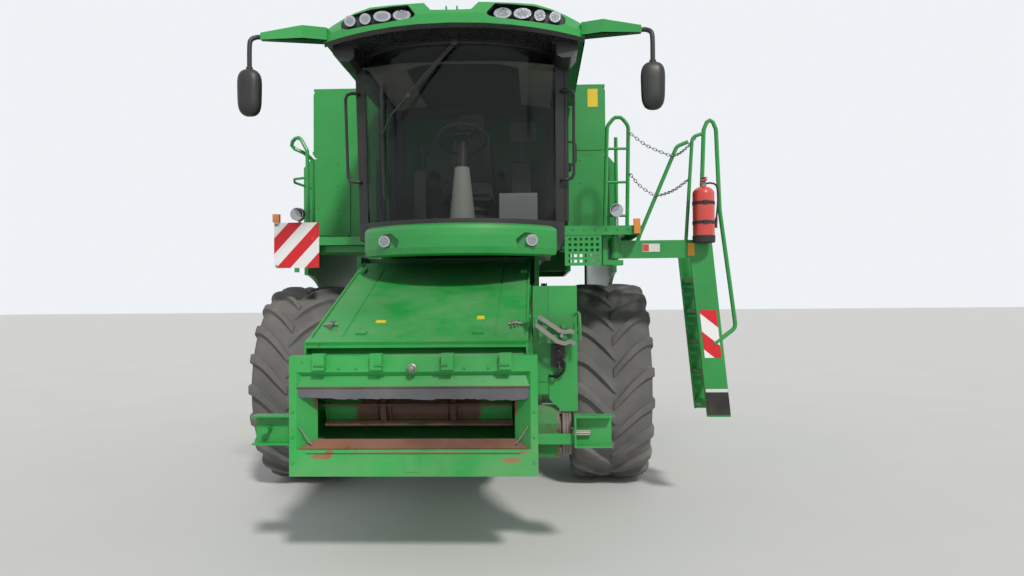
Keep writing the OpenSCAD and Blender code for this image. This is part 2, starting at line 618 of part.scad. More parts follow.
spreader_y = body_back + 700;
spreader_pin_r = 25;
spreader_z = 880;
module straw_hood() color(green) {
  difference() {
    plate_x(-body_half, body_half) polygon(soft([
      [body_back + seat, rail_z], [body_back + seat, deck_z - 1], [hood_end - 550, deck_z - 40], [hood_end, 1600],
      [hood_end, 1150], [hood_end - 500, 1000]], 60));
    plate_x(-body_half + 25, body_half - 25) polygon([
      [body_back + 30, rail_z - 100], [body_back + 30, deck_z - 40], [hood_end - 560, deck_z - 70], [hood_end - 25, 1590],
      [hood_end - 25, 900]]);
  }
  // Ribs, the chopper's drum, and the beam with the spreaders' shafts
  both() {
    for (y = [body_back + 180:300:hood_end - 300]) box([body_half - 1, y, 1200], [body_half + 16, y + 40, 1700]);
    bar_z(spreader_z + 20, 1090, spreader_pin_r, spreader_x, spreader_y);
    bar_z(1080, 1200, 70, spreader_x, spreader_y);
  }
  box([-body_half + 20, spreader_y - 60, 1090], [body_half - 20, spreader_y + 60, 1110]);
  bar_x(-body_half + 20, body_half - 20, 60, body_back + 350, 1350);
  for (x = [-690:60:690]) bar_x(x, x + 8, 200, body_back + 350, 1350);
  // Steps and handrails up to the engine deck at the back
  for (x = [260, 640]) pipe(rounded([[x, hood_end - 2, 1260], [x, hood_end + 70, 1260], [x, hood_end + 70, 1620],
    [x, hood_end - 480, 2260], [x, hood_end - 700, 2420], [x, hood_end - 900, 2420], [x, hood_end - 900, deck_z - 20]], 60), rail_r);
  for (z = [1330, 1560]) box([260, hood_end - 1, z], [640, hood_end + 85, z + 25]);
}

// Panels on both sides behind the cab, ahead of the side shields
panel_t = 40;
module front_panels() color(green) both() {
  plate_y(tank_y - panel_t - seat, tank_y - seat) polygon(soft([[body_half + 60, deck_z + 100], [shield_half - 150, deck_z + 200],
    [shield_half - 10, 2490], [shield_half - 10, 3140], [shield_half - 90, extension_z - 10], [body_half + 60, extension_z - 10]], 25));
  // A pressed door in each panel
  plate_y(tank_y - panel_t - 14, tank_y - panel_t) polygon(soft([[body_half + 330, deck_z + 260], [shield_half - 170, deck_z + 290],
    [shield_half - 70, 2560], [shield_half - 70, 3000], [shield_half - 300, extension_z - 90], [body_half + 330, extension_z - 90]], 50));
}

// Cab, drawn about its own middle line. The windscreen and the posts beside it lean forward.

module cab_place() translate([cab_x, 0, 0]) children();

cab_floor = sill_z - 100;
base_z = deck_z + seat;
post_y = screen_y + 330;
function lean(z) = (z - sill_z) * tan(screen_lean);
lean_out = lean(roof_z);
grab_low = sill_z + 330;
grab_high = roof_z - 290;
sill_out = cab_half - 20;
door_hinge_y = -760;
door_edge_y = door_hinge_y;
screen_centre = screen_y + screen_r;
module screen_place() translate([0, screen_y, sill_z]) rotate([screen_lean, 0, 0]) children();
// The leaning shell of the windscreen, between two radii
module screen_shell(r0, r1) screen_place() difference() {
  bar_z(-80, roof_z - sill_z + 80, r1, 0, screen_r);
  bar_z(-81, roof_z - sill_z + 81, r0, 0, screen_r);
}
module screen_outline(r) polygon(soft([[-769, sill_z + seat], [769, sill_z + seat], [769, roof_z - 20], [-769, roof_z - 20]], r));

module cab_base() color(black) cab_place() {
  $fn = 180;
  intersection() {
    bar_z(base_z, cab_floor, screen_r, 0, screen_centre);
    box([-740, screen_y - 10, base_z], [740, cab_back, cab_floor]);
  }
  // The upstand under the windscreen
  intersection() {
    difference() {
      bar_z(cab_floor - 1, sill_z, screen_r, 0, screen_centre);
      bar_z(cab_floor - 2, sill_z + 1, screen_r - 40, 0, screen_centre);
    }
    box([-769, screen_y - 10, cab_floor - 1], [769, post_y + 30, sill_z]);
  }
  both() {
    box([760, post_y, cab_floor - 40], [sill_out, cab_back - 41, sill_z - seat]);
    box([739, post_y, cab_floor - 40], [761, cab_back - 41, cab_floor]);
  }
}

hinge_out = cab_half + 22;
door_axis_y = door_hinge_y + 14;
door_hinges = [sill_z + 250, roof_z - 300];
module cab_frame() color(black) cab_place() {
  both() {
    // Front posts, which lean with the screen, then the middle and rear posts
    plate_x(770, sill_out) polygon([[post_y, sill_z], [post_y + 60, sill_z], [post_y + 60 - lean_out, roof_z], [post_y - lean_out, roof_z]]);
    box([790, door_hinge_y + 10, sill_z], [sill_out, door_hinge_y + 70, roof_z]);
    box([790, cab_back - 60, sill_z], [cab_half, cab_back, roof_z]);
    box([790, post_y, sill_z], [sill_out, cab_back, sill_z + 20]);
    box([790, post_y - lean_out + 20, roof_z - 60], [sill_out, cab_back, roof_z]);
    // The liner's rounded cheeks at the top of the windscreen
    plate_y(screen_y - lean_out + 20, post_y - lean_out - 20) polygon(soft([[772, roof_z - 1], [772, roof_z - 100],
      [810, roof_z - 125], [885, roof_z - 125], [935, roof_z - 70], [935, roof_z - 1]], 24));
    plate_y(screen_y - lean_out + 20, post_y - lean_out - 10) polygon([[740, roof_z - 19], [740, roof_z], [935, roof_z], [935, roof_z - 19]]);
    // Grab handles ahead of the posts
    pipe(rounded([for (q = [[-25, 20, grab_low], [-25, -50, grab_low], [75, -50, grab_low], [75, -50, grab_high], [-25, -50, grab_high], [-25, 20, grab_high]])
      [sill_out + q[0], post_y + q[1] - lean(q[2]), q[2]]], 45, 2), 13);
  }
  // The headliner, cut round like the screen
  intersection() {
    bar_z(roof_z - 19, roof_z, screen_r + 20, 0, screen_centre - lean_out, $fn = 180);
    box([-771, screen_y - lean_out - 30, roof_z - 19], [771, cab_back, roof_z]);
  }
  difference() {
    box([-sill_out, cab_back - 40, cab_floor + seat], [sill_out, cab_back, roof_z]);
    box([-700, cab_back - 41, 2900], [700, cab_back + 1, roof_z - 120]);
  }
  // The door's hinges on the left middle post
  for (z = door_hinges) {
    bar_z(z - 90, z + 90, 7, hinge_out, door_axis_y);
    for (s = [z - 90, z + 70]) {
      bar_z(s, s + 20, barrel_r, hinge_out, door_axis_y);
      box([sill_out - 1, door_axis_y - 6, s], [hinge_out, door_axis_y + 12, s + 20]);
    }
  }
}

module cab_glass() color(glass_c) cab_place() {
  $fn = 180;
  intersection() {
    screen_shell(screen_r - glass_t, screen_r);
    plate_y(screen_y - lean_out - 50, post_y + 100) screen_outline(150);
  }
  // The side panes ahead of and behind the middle posts, and the rear pane
  plate_x(-cab_half + 22, -cab_half + 22 + glass_t) polygon([[post_y + 60 + seat, sill_z + 20 + seat], [door_hinge_y + 10 - seat, sill_z + 20 + seat],
    [door_hinge_y + 10 - seat, roof_z - 60 - seat], [post_y + 60 + seat - lean_out * 0.945, roof_z - 60 - seat]]);
  both() box([cab_half - 22 - glass_t, door_hinge_y + 70 + seat, sill_z + 20 + seat], [cab_half - 22, cab_back - 60 - seat, roof_z - 60 - seat]);
  box([-700 + seat, cab_back - 30, 2900 + seat], [700 - seat, cab_back - 30 + glass_t, roof_z - 120 - seat]);
}

roof_half = 985;
roof_front = screen_y - 400;
arm_y = roof_front - 90;
lamp_y = roof_front + 165;
// The roof's section in the side view at x, from its front lip up and back round
function roof_ring(x) =
  let (e = abs(x) / roof_half, f = roof_front + 200 * pow(e, 2.2), low = roof_z + 32 - 62 * e * e,
       top = roof_top - 120 * pow(max(0, (e - 0.62) / 0.38), 1.4), back = roof_top - 60 - 70 * pow(max(0, (e - 0.7) / 0.3), 2),
       b = roof_z + seat)
  [for (p = [[f + 32, low], [f + 4, low + 26], [f, (low + top) / 2 - 10], [f + 40, top - 24], [f + 100, top], [f + 330, back + 8],
    [-1000, back], [cab_back + 20, back - 6], [cab_back + 85, back - 50], [cab_back + 95, b + 45], [cab_back + 60, b], [screen_y - lean_out - 20, b]])
    [x, p[0], p[1]]];
module cab_roof() color(green) cab_place() {
  difference() {
    loft([for (x = [-1, -0.985, -0.94, -0.86, -0.75, -0.62, -0.45, -0.25, 0, 0.25, 0.45, 0.62, 0.75, 0.86, 0.94, 0.985, 1])
      roof_ring(x * roof_half)]);
    // The notch in the middle of the visor and the two lamp recesses
    plate_y(roof_front - 20, roof_front + 190) polygon([[-140, roof_z + 150], [140, roof_z + 150], [255, roof_top + 40], [-255, roof_top + 40]]);
    both() plate_y(roof_front - 50, lamp_y) polygon(soft([[250, roof_z + 118], [300, roof_z + 100], [470, roof_z + 82], [780, roof_z + 64],
      [835, roof_z + 78], [842, roof_z + 130], [790, roof_z + 172], [600, roof_z + 203], [320, roof_z + 212]], 22));
  }
  // A small bracket in the notch
  box([-50, roof_front + 60, roof_z + 149], [50, roof_front + 110, roof_z + 162]);
  for (x = [-46, 34]) box([x, roof_front + 70, roof_z + 149], [x + 12, roof_front + 100, roof_z + 205]);
  // Tapered arms that carry the mirrors
  both() hull() {
    box([roof_half - 30, roof_front + 180, roof_z + 12], [roof_half - 25, roof_front + 290, roof_z + 105]);
    box([roof_half + 120, roof_front + 60, roof_z - 12], [roof_half + 125, roof_front + 150, roof_z + 82]);
    box([roof_half + 375, arm_y + 10, roof_z - 70], [roof_half + 380, arm_y + 50, roof_z - 20]);
  }
}

apron_z = 2110;
apron_h = 250;
apron_r = screen_r - 120;
apron_front = screen_y - 140;
apron_centre = apron_front + apron_r;
module cab_apron() color(green) cab_place() difference() {
  $fn = 180;
  translate([0, apron_centre, apron_z]) rotate_extrude() polygon([[apron_r - 260, 0], [apron_r - 45, 0], [apron_r - 15, 12],
    [apron_r - 3, 60], [apron_r, 150], [apron_r - 4, 200], [apron_r - 18, 228], [apron_r - 45, 244], [apron_r - 100, apron_h], [apron_r - 260, apron_h]]);
  bar_z(apron_z - 1, apron_z + apron_h + 1, screen_r + seat, 0, screen_centre);
  box([-2000, apron_front + 360, 2000], [2000, 2000, 3000]);
  both() {
    box([772, -3000, 2000], [2000, 2000, 3000]);
    // A recess with a round lamp's seat near each end
    plate_y(apron_front - 10, apron_front + 190) polygon(soft([[470, apron_z + 55], [690, apron_z + 70], [700, apron_z + 165], [520, apron_z + 175], [450, apron_z + 120]], 20));
  }
}

// Work place
module operator_seat() color(grey) cab_place() translate([0, -800, cab_floor + seat]) {
  bar_z(0, 60, 210, 0, 0);
  bar_z(0, 330, 110, 0, 0);
  box([-220, -220, 330], [220, 220, 380]);
  plate_x(-250, 250) polygon(soft([[-280, 380], [250, 380], [250, 470], [-240, 500], [-280, 460]], 35));
  plate_y(160, 290) polygon(soft([[-230, 440], [230, 440], [250, 800], [190, 1080], [-190, 1080], [-250, 800]], 60));
  plate_y(190, 270) polygon(soft([[-120, 1070], [120, 1070], [110, 1230], [-110, 1230]], 40));
  both() plate_x(265, 335) polygon(soft([[-200, 560], [230, 560], [230, 640], [-200, 625]], 25));
  both() box([249, 100, 440], [266, 180, 600]);
}

wheel_z = cab_floor + 840;
wheel_y = screen_y + 470;
module steering_column() color(grey) cab_place() {
  translate([0, wheel_y - 90, cab_floor + seat]) cylinder(h = 560, r1 = 120, r2 = 60);
  translate([0, wheel_y - 90, cab_floor + 520]) rotate([-14, 0, 0]) {
    bar_z(0, 290, 38, 0, 0);
    translate([0, 0, 300]) rotate([-14, 0, 0]) {
      rotate_extrude() translate([195, 0]) circle(15, $fn = 24);
      for (a = [90, 210, 330]) rotate([0, 0, a]) box([30, -16, -8], [190, 16, 8]);
      bar_z(-40, 18, 52, 0, 0);
    }
  }
  // The cool box, the side console with its screen, and the pedals
  plate_x(300, 620) polygon(soft([[screen_y + 500, cab_floor + seat], [screen_y + 900, cab_floor + seat], [screen_y + 900, cab_floor + 330], [screen_y + 500, cab_floor + 370]], 30));
  plate_x(400, 560) polygon(soft([[-1050, cab_floor + seat], [-700, cab_floor + seat], [-700, cab_floor + 640], [-1050, cab_floor + 700]], 30));
  plate_x(470, 500) polygon([[-1040, cab_floor + 640], [-1000, cab_floor + 640], [-1040, cab_floor + 860], [-1075, cab_floor + 860]]);
  box([380, -1090, cab_floor + 850], [610, -1060, cab_floor + 1020]);
  for (x = [-330, -250, 190]) plate_x(x, x + 60) polygon([[screen_y + 330, cab_floor + seat], [screen_y + 370, cab_floor + seat], [screen_y + 330, cab_floor + 150], [screen_y + 300, cab_floor + 150]]);
}

mirror_x = roof_half + 455;
mirror_top = roof_z - 285;
mirror_h = 345;
module mirrors() color(black) cab_place() both() {
  pipe(rounded([[roof_half + 380 + seat, arm_y + 30, roof_z - 46], [roof_half + 400, arm_y + 30, roof_z - 46], [mirror_x, arm_y, roof_z - 70], [mirror_x, arm_y, mirror_top - 10]], 60), 18);
  intersection() {
    plate_y(arm_y - 60, arm_y + 60) polygon(soft([[mirror_x - 88, mirror_top - mirror_h], [mirror_x + 88, mirror_top - mirror_h],
      [mirror_x + 88, mirror_top], [mirror_x - 88, mirror_top]], 45, 5));
    plate_x(mirror_x - 90, mirror_x + 90) polygon(soft([[arm_y - 58, mirror_top - mirror_h + 25], [arm_y + 40, mirror_top - mirror_h],
      [arm_y + 40, mirror_top], [arm_y - 58, mirror_top - 25]], 30, 4));
    bar_z(mirror_top - mirror_h, mirror_top, 150, mirror_x, arm_y + 85);
  }
}

// Platforms and rails

platform_top = platform_z + platform_t;
right_front = -740;
platform_in = cab_x + sill_out + seat;
right_in = cab_x - sill_out - seat;
landing_top = platform_z - 35;
landing_z = landing_top - 150;
ladder_pin_r = 26;
// Lamps in the roof's recesses as [x, height over the roof's underside, half width, half height],
// in the apron, and the work lamps on the platforms
roof_lamp_table = [[374, 158, 66, 40], [520, 152, 66, 40], [648, 135, 42, 42], [762, 122, 42, 42]];
work_lamps = [[-right_out - 20, right_front - 30], [platform_out - 120, right_front - 40]];
module roof_lamps() color(grey) {
  cab_place() both() {
    for (q = roof_lamp_table) translate([q[0], lamp_y - seat, roof_z + q[1]]) rotate([90, 0, 0])
      linear_extrude(60) polygon([for (a = [0:15:345]) [q[2] * cos(a), q[3] * sin(a)]]);
    bar_y(apron_front + 150, apron_front + 190 - seat, 45, 575, apron_z + 115);
  }
  for (w = work_lamps) {
    bar_z(platform_top + seat, platform_top + 160, 10, w[0], w[1] + 40);
    bar_y(w[1] - 30, w[1] + 50, 60, w[0], platform_top + 210);
  }
}

// A deck of thin plate with slots, a turned edge and cross beams
module deck(lo, hi) {
  difference() {
    box([lo[0], lo[1], platform_z], [hi[0], hi[1], platform_top]);
    box([lo[0] + 12, lo[1] + 12, platform_z - 1], [hi[0] - 12, hi[1] - 12, platform_top - 8]);
    for (y = [lo[1] + 70:95:hi[1] - 70], x = [lo[0] + 60:120:hi[0] - 100])
      box([x, y, platform_top - 9], [x + 80, y + 32, platform_top + 1]);
  }
}
module left_platform() color(green) {
  deck([platform_in, platform_front], [platform_out, -110]);
  for (y = [-1050, -450]) box([platform_in, y, platform_z - 60], [ladder_x - 40, y + 60, platform_z + 1]);
  // The rail panel that stands beside the door, with three rungs
  pipe(rounded([[platform_out - 225, right_front + 30, platform_z + 20], [platform_out - 190, right_front + 30, platform_top + 1000],
    [platform_out - 90, right_front + 30, platform_top + 1120], [platform_out + 5, right_front + 30, platform_top + 1000], [platform_out - 18, right_front + 30, platform_z + 20]], 90), rail_r);
  for (z = [170, 480, 790]) bar_x(platform_out - 215 + z * 0.035, platform_out - 12, 12, right_front + 30, platform_top + z);
  pipe([[platform_out - 60, -226, platform_z + 20], [platform_out - 60, -226, platform_top + 1000]], rail_r);
  // The ladder's pivot: a lug under the platform, its web and the pin
  box([platform_out - 300, ladder_y - 70, landing_z - 55], [ladder_x + 60, ladder_y + 70, landing_z - 15]);
  box([platform_out - 300, ladder_y - 70, landing_z - 55], [platform_out - 260, ladder_y + 70, platform_top - 7]);
  bar_z(landing_z - 20, platform_top - 7, ladder_pin_r, ladder_x, ladder_y);
  // The pierced bracket below the platform's front
  difference() {
    box([platform_in, platform_front + 6, platform_z - 250], [platform_in + 300, platform_front + 14, platform_z + 1]);
    for (x = [platform_in + 30:45:platform_in + 290], z = [platform_z - 225:45:platform_z - 40])
      box([x, platform_front + 5, z], [x + 24, platform_front + 15, z + 24]);
  }
}
module right_platform() color(green) {
  deck([-right_out, right_front], [right_in, -110]);
  for (y = [right_front + 100, -300]) box([-right_out + 60, y, platform_z - 60], [right_in, y + 60, platform_z + 1]);
  // The looped handrail, a second small loop and a rear post
  pipe(rounded([[-right_out + 55, right_front + 40, platform_z + 20], [-right_out + 50, right_front + 40, 3180], [-right_out - 30, right_front + 45, 3330],
    [-right_out - 150, right_front + 90, 3240], [-right_out - 10, right_front + 130, 3180], [-right_out + 50, right_front + 210, 3130],
    [-right_out + 55, right_front + 210, platform_z + 20]], 45, 2), rail_r);
  pipe(rounded([[-right_out + 50, right_front + 50, 2930], [-right_out - 155, right_front + 80, 2915], [-right_out + 45, right_front + 200, 2850]], 35), 12, 6);
  // The arm that carries the warning board
  box([-right_out - 60, right_front, platform_z - 250], [-right_out - 20, right_front + 20, platform_top - 10]);
  box([-right_out - 60, right_front, platform_z - 10], [-right_out + 1, right_front + 20, platform_z + 30]);
  box([-right_out - 225, right_front, platform_z - 60], [-right_out - 20, right_front + 8, platform_z - 30]);
}
board = 423;
board_x = -1650;
board_z = 2080;
module marker_lamps() color(yellow) {
  box([board_x, right_front - 45, board_z + board + seat], [board_x + 60, right_front, board_z + board + 75]);
  box([platform_out - 60, platform_front - 45, platform_top - 70], [platform_out - 10, platform_front - seat, platform_top + 50]);
}
module warning_board() color(red) box([board_x, right_front - 4, board_z], [board_x + board, right_front - seat, board_z + board]);
module exhaust_pipe() color(grey) translate([700, tank_back + 350, hood_z + seat]) {
  cylinder(h = 30, r = 120);
  cylinder(h = 330, r = 80);
  translate([0, 0, 330]) rotate([0, 0, 90]) translate([-130, 0, 0]) rotate([90, 0, 0]) rotate_extrude(angle = 70) translate([130, 0]) difference() {
    circle(80);
    circle(70);
  }
}

// The left door, hinged at its rear edge
door_x = cab_x + cab_half - 15;
door_t = 30;
door_front = post_y + 5;
door_top = roof_z - 10;
door_lean = (door_top - sill_z - 5) * tan(screen_lean);
module cab_door() color(black) {
  difference() {
    plate_x(door_x, door_x + door_t) polygon([[door_front, sill_z + 5], [door_hinge_y, sill_z + 5], [door_hinge_y, door_top], [door_front - door_lean, door_top]]);
    plate_x(door_x - 1, door_x + door_t + 1) door_window(0);
  }
  for (z = door_hinges) difference() {
    union() {
      bar_z(z - 65, z + 65, barrel_r, cab_x + hinge_out, door_axis_y);
      box([door_x + 12, door_hinge_y - 30, z - 65], [cab_x + hinge_out, door_axis_y - 8, z + 65]);
    }
    bar_z(z - 66, z + 66, 7 + running, cab_x + hinge_out, door_axis_y);
  }
  // The latch and its handle
  box([door_x + door_t - 1, door_front - 45, sill_z + 420], [door_x + door_t + 22, door_front + 85, sill_z + 470]);
  pipe(rounded([[door_x + door_t + 10, door_front - 20, sill_z + 460], [door_x + door_t + 60, door_front - 20, sill_z + 460],
    [door_x + door_t + 60, door_front - 42, sill_z + 640], [door_x + door_t - 2, door_front - 42, sill_z + 640]], 25, 2), 9, 6);
}
module door_window(inset) polygon(soft([[door_front + 60 + inset, sill_z + 80 + inset], [door_hinge_y - 60 - inset, sill_z + 80 + inset],
  [door_hinge_y - 60 - inset, door_top - 60 - inset], [door_front + 60 + inset - door_lean * 0.93, door_top - 60 - inset]], 40));
module door_glass() color(glass_c) plate_x(door_x + 10, door_x + 10 + glass_t) door_window(seat);

// Feeder house, drawn in a frame at its pivot with its floor level, then tilted

eye_s = 1150;
eye_d = feeder_down + 130;
chain_x = 232;
module feeder_place() translate([0, feeder_pivot_y, feeder_pivot_z]) rotate([feeder_tilt, 0, 0]) children();
module feeder_house() color(green) {
  difference() {
    feeder_place() {
      difference() {
        box([-feeder_half, -2400, -feeder_down], [feeder_half, 0, feeder_up]);
        box([-feeder_half + feeder_plate, -2401, -feeder_down + feeder_plate],
          [feeder_half - feeder_plate, 1, feeder_up - feeder_plate]);
      }
      // The cover's panel, its flanges and the turned edges of the side plates
      box([-500, -1690, feeder_up - 1], [500, -160, feeder_up + 7]);
      both() {
        box([515, -1690, feeder_up - 1], [feeder_half - 30, -160, feeder_up + 5]);
        box([feeder_half - 14, -2100, feeder_up - 30], [feeder_half, -20, feeder_up + 12]);
        // Channels pressed down the sides
        for (y = [-1880, -1180, -500]) box([feeder_half - 1, y, -feeder_down + 40], [feeder_half + 14, y + 60, feeder_up - 60]);
        box([feeder_half - 1, -2200, -feeder_down], [feeder_half + 14, -60, -feeder_down + 30]);
      }
      // The ledge across the front of the cover and the ribs under the floor
      box([-feeder_half, -1800, feeder_up - 1], [feeder_half, -1720, feeder_up + 22]);
      for (y = [-1900, -1000, -400]) box([-feeder_half, y, -feeder_down - 30], [feeder_half, y + 50, -feeder_down + 1]);
      // Latches and lifting points on the cover
      for (x = [-430, 360]) box([x, -1650, feeder_up + 6], [x + 70, -1600, feeder_up + 22]);
      both() box([feeder_half - 75, -320, feeder_up - 1], [feeder_half - 20, -200, feeder_up + 26]);
    }
    box([-1000, -4000, 0], [1000, face_back, 3000]);
  }
  feeder_place() both() {
    bar_x(feeder_half - 1, cheek_in + cheek_t, pivot_r, 0, 0);
    // Brackets for the lift cylinders' rod eyes
    for (x = [lift_x - ear_in - 30, lift_x + ear_in])
      plate_x(x, x + 30) polygon([[-eye_s + 150, -feeder_down + 1], [-eye_s + 60, -eye_d - 60],
        [-eye_s - 60, -eye_d - 60], [-eye_s - 150, -feeder_down + 1]]);
  }
}

mouth_half = 640;
mouth_z = 820;
mouth_top = 1220;
mouth_out = 105;
hooks = [-590, -225, 225, 590];
lock_y = face_y + 50;
lock_z = face_bottom + 80;
lock_r = 16;
lock_l = 70;
module feeder_face() color(green) {
  difference() {
    box([-face_half, face_y, face_bottom], [face_half, face_back, face_top]);
    // The mouth narrows towards the feeder house
    intersection() {
      plate_x(-face_half, face_half) polygon([[face_y - 1, mouth_z], [face_back + 1, mouth_z], [face_back + 1, mouth_top], [face_y - 1, mouth_top + 90]]);
      translate([0, 0, face_bottom]) linear_extrude(face_h) polygon([[-mouth_half - mouth_out, face_y - 1], [mouth_half + mouth_out, face_y - 1],
        [mouth_half, face_back + 1], [-mouth_half, face_back + 1]]);
    }
    // Pin holes of the header's lower locks
    both() bar_x(face_half - lock_l, face_half + 1, lock_r, lock_y, lock_z);
  }
  // Hooks that the header hangs on
  for (x = hooks) plate_x(x - 38, x + 38) polygon([[face_y + 1, face_top - 85], [face_y - hook_out, face_top - 85], [face_y - hook_out, face_top + 18],
    [face_y - hook_out + 18, face_top + 18], [face_y - hook_out + 18, face_top - 55], [face_y - 12, face_top - 55], [face_y - 12, face_top + 18], [face_y + 1, face_top + 18]]);
  bar_y(face_y - 22, face_y + 1, 26, -10, face_top - 68);
  // The floor lip and the patch under the mouth
  box([-mouth_half - 40, face_y - 14, mouth_z - 18], [mouth_half + 40, face_y + 1, mouth_z - 2]);
  box([-55, face_y - 5, mouth_z - 140], [42, face_y + 1, mouth_z - 35]);
}

drum_y = -1750;
drum_z = -100;
drum_r = 105;
module feeder_drum() color(rust) feeder_place() {
  bar_x(-feeder_half + feeder_plate + seat, feeder_half - feeder_plate - seat, 30, drum_y, drum_z);
  bar_x(-mouth_half + 20, mouth_half - 20, drum_r, drum_y, drum_z);
  for (x = [-mouth_half + 20, -chain_x - 50, -chain_x + 38, chain_x - 50, chain_x + 38, mouth_half - 32]) bar_x(x, x + 12, drum_r + 14, drum_y, drum_z);
}

chain_r = drum_r + 12;
slat_run = -drum_y - 340;
module feeder_chain() color(black) feeder_place() {
  for (s = [-1, 1]) plate_x(s * chain_x - 17, s * chain_x + 17) difference() {
    chain_loop(chain_r + 18);
    chain_loop(chain_r);
  }
  // Slats on both runs and over the drum, tied to the chains
  for (i = [0:6]) for (s = [-1, 1]) let (t = i / 6, y = drum_y + 20 + slat_run * t, z = drum_z * (1 - t * slat_run / (-drum_y - 300)) + s * (chain_r + 12))
    box([-mouth_half + 15, y - 5, s > 0 ? z - 4 : z - 34], [mouth_half - 15, y + 5, s > 0 ? z + 34 : z + 4]);
  translate([0, drum_y, drum_z]) for (a = [150, 205]) rotate([a, 0, 0]) box([-mouth_half + 15, chain_r + 8, -5], [mouth_half - 15, chain_r + 46, 5]);
  // The rear shaft that carries the chains' other end
  bar_x(-feeder_half + feeder_plate + seat, feeder_half - feeder_plate - seat, 40, -300, 0);
  for (s = [-1, 1]) bar_x(s * chain_x - 14, s * chain_x + 14, chain_r + 2, -300, 0);
}
module chain_loop(r) hull() {
  translate([drum_y, drum_z]) circle(r, $fn = 32);
  translate([-300, 0]) circle(r, $fn = 32);
}

// A rubber curtain in the mouth, clamped under its upper edge
module feeder_curtain() color(black) box([-mouth_half + 8, face_back - 10, mouth_top - 95], [mouth_half - 8, face_back - 2, mouth_top + 1]);

shaft_y = -2620;
shaft_z = 890;
shaft_r = 20;
module feeder_drive() color(grey) {
  x = feeder_half + 14 + seat;
  plate_x(x, face_half + 140) polygon(soft([[shaft_y - 90, shaft_z - 170], [shaft_y + 90, shaft_z - 170], [shaft_y + 110, shaft_z + 60],
    [shaft_y + 50, shaft_z + 170], [shaft_y - 60, shaft_z + 170], [shaft_y - 90, shaft_z + 60]], 35));
  bar_x(face_half + 139, face_half + 160, 110, shaft_y, shaft_z);
  difference() {
    bar_x(face_half + 159, face_half + 215, 155, shaft_y, shaft_z);
    for (i = [0:4]) rotate_at(i * 72, shaft_y, shaft_z) bar_x(face_half + 158, face_half + 216, 32, 88, 0);
    for (s = [175, 193]) translate([face_half + s, shaft_y, shaft_z]) rotate([0, 90, 0]) rotate_extrude() translate([147, 0]) square([10, 8]);
  }
  bar_x(face_half + 214, face_half + 330, shaft_r, shaft_y, shaft_z);
}
module rotate_at(a, y, z) translate([0, y, z]) rotate([a, 0, 0]) children();

module feeder_wings() color(green) {
  // The guard plate beside the feeder house and its mounting flange
  plate_y(-2712, -2700) polygon([[865, 1110], [950, 1030], [1050, 1030], [1050, 1850], [865, 1850]]);
  box([feeder_half + 14 + seat, -2700.5, 1140], [890, -2688, 1370]);
  for (z = [1200, 1700]) box([1038, -2701, z], [1050, -2640, z + 30]);
  // Channels for the header's drive shafts, right then left
  difference() {
    box([1020, -2860, 820], [1260, -2760, 1020]);
    box([1032, -2861, 832], [1261, -2772, 1008]);
  }
  box([face_half + seat, -2800, 832], [1021, -2788, 900]);
  difference() {
    box([-1045, -2860, 840], [-face_half - seat, -2770, 1030]);
    box([-1046, -2861, 852], [-face_half - 15, -2782, 1018]);
  }
  bar_y(-2861, -2781, 22, -960, 935);
}
// The multiple coupler with its lever, on the guard plate
module header_coupler() color(grey) {
  box([800, -2830, 1480], [1020, -2712 - seat, 1650]);
  for (x = [840, 900, 960], z = [1520, 1590]) bar_y(-2856, -2829, 19, x, z);
  pipe(rounded([[1010, -2770, 1640], [1060, -2790, 1690], [1060, -2860, 1600], [1060, -2870, 1500]], 30, 2), 11, 6);
}

// Lift cylinders: each pair runs from the axle's ears to the feeder house's brackets
lift_eye_y = feeder_pivot_y - eye_s * cos(feeder_tilt) + eye_d * sin(feeder_tilt);
lift_eye_z = feeder_pivot_z - eye_s * sin(feeder_tilt) - eye_d * cos(feeder_tilt);
lift_length = norm([lift_eye_y - lift_base_y, lift_eye_z - lift_base_z]);
lift_angle = atan2(lift_eye_z - lift_base_z, lift_base_y - lift_eye_y);
barrel_l = 880;
module lift_place(side) translate([side * lift_x, lift_base_y, lift_base_z]) rotate([-lift_angle, 0, 0]) children();
module lift_barrel(side) color(green) lift_place(side) difference() {
  union() {
    bar_x(-40, 40, 45, 0, 0);
    bar_y(-90, -30, 34, 0, 0);
    bar_y(-barrel_l, -85, lift_r, 0, 0);
    bar_y(-barrel_l, -barrel_l + 60, lift_r + 7, 0, 0);
    bar_z(40, lift_r + 22, 16, 0, -130);
  }
  bar_x(-41, 41, pin_r + running, 0, 0);
  bar_y(-barrel_l - 1, -95, rod_r + running, 0, 0);
}
module lift_rod(side) color(grey) lift_place(side) {
  bar_y(-lift_length + 30, -lift_length + 1320, rod_r, 0, 0);
  difference() {
    bar_x(-38, 38, 45, -lift_length, 0);
    bar_x(-39, 39, pin_r, -lift_length, 0);
  }
}

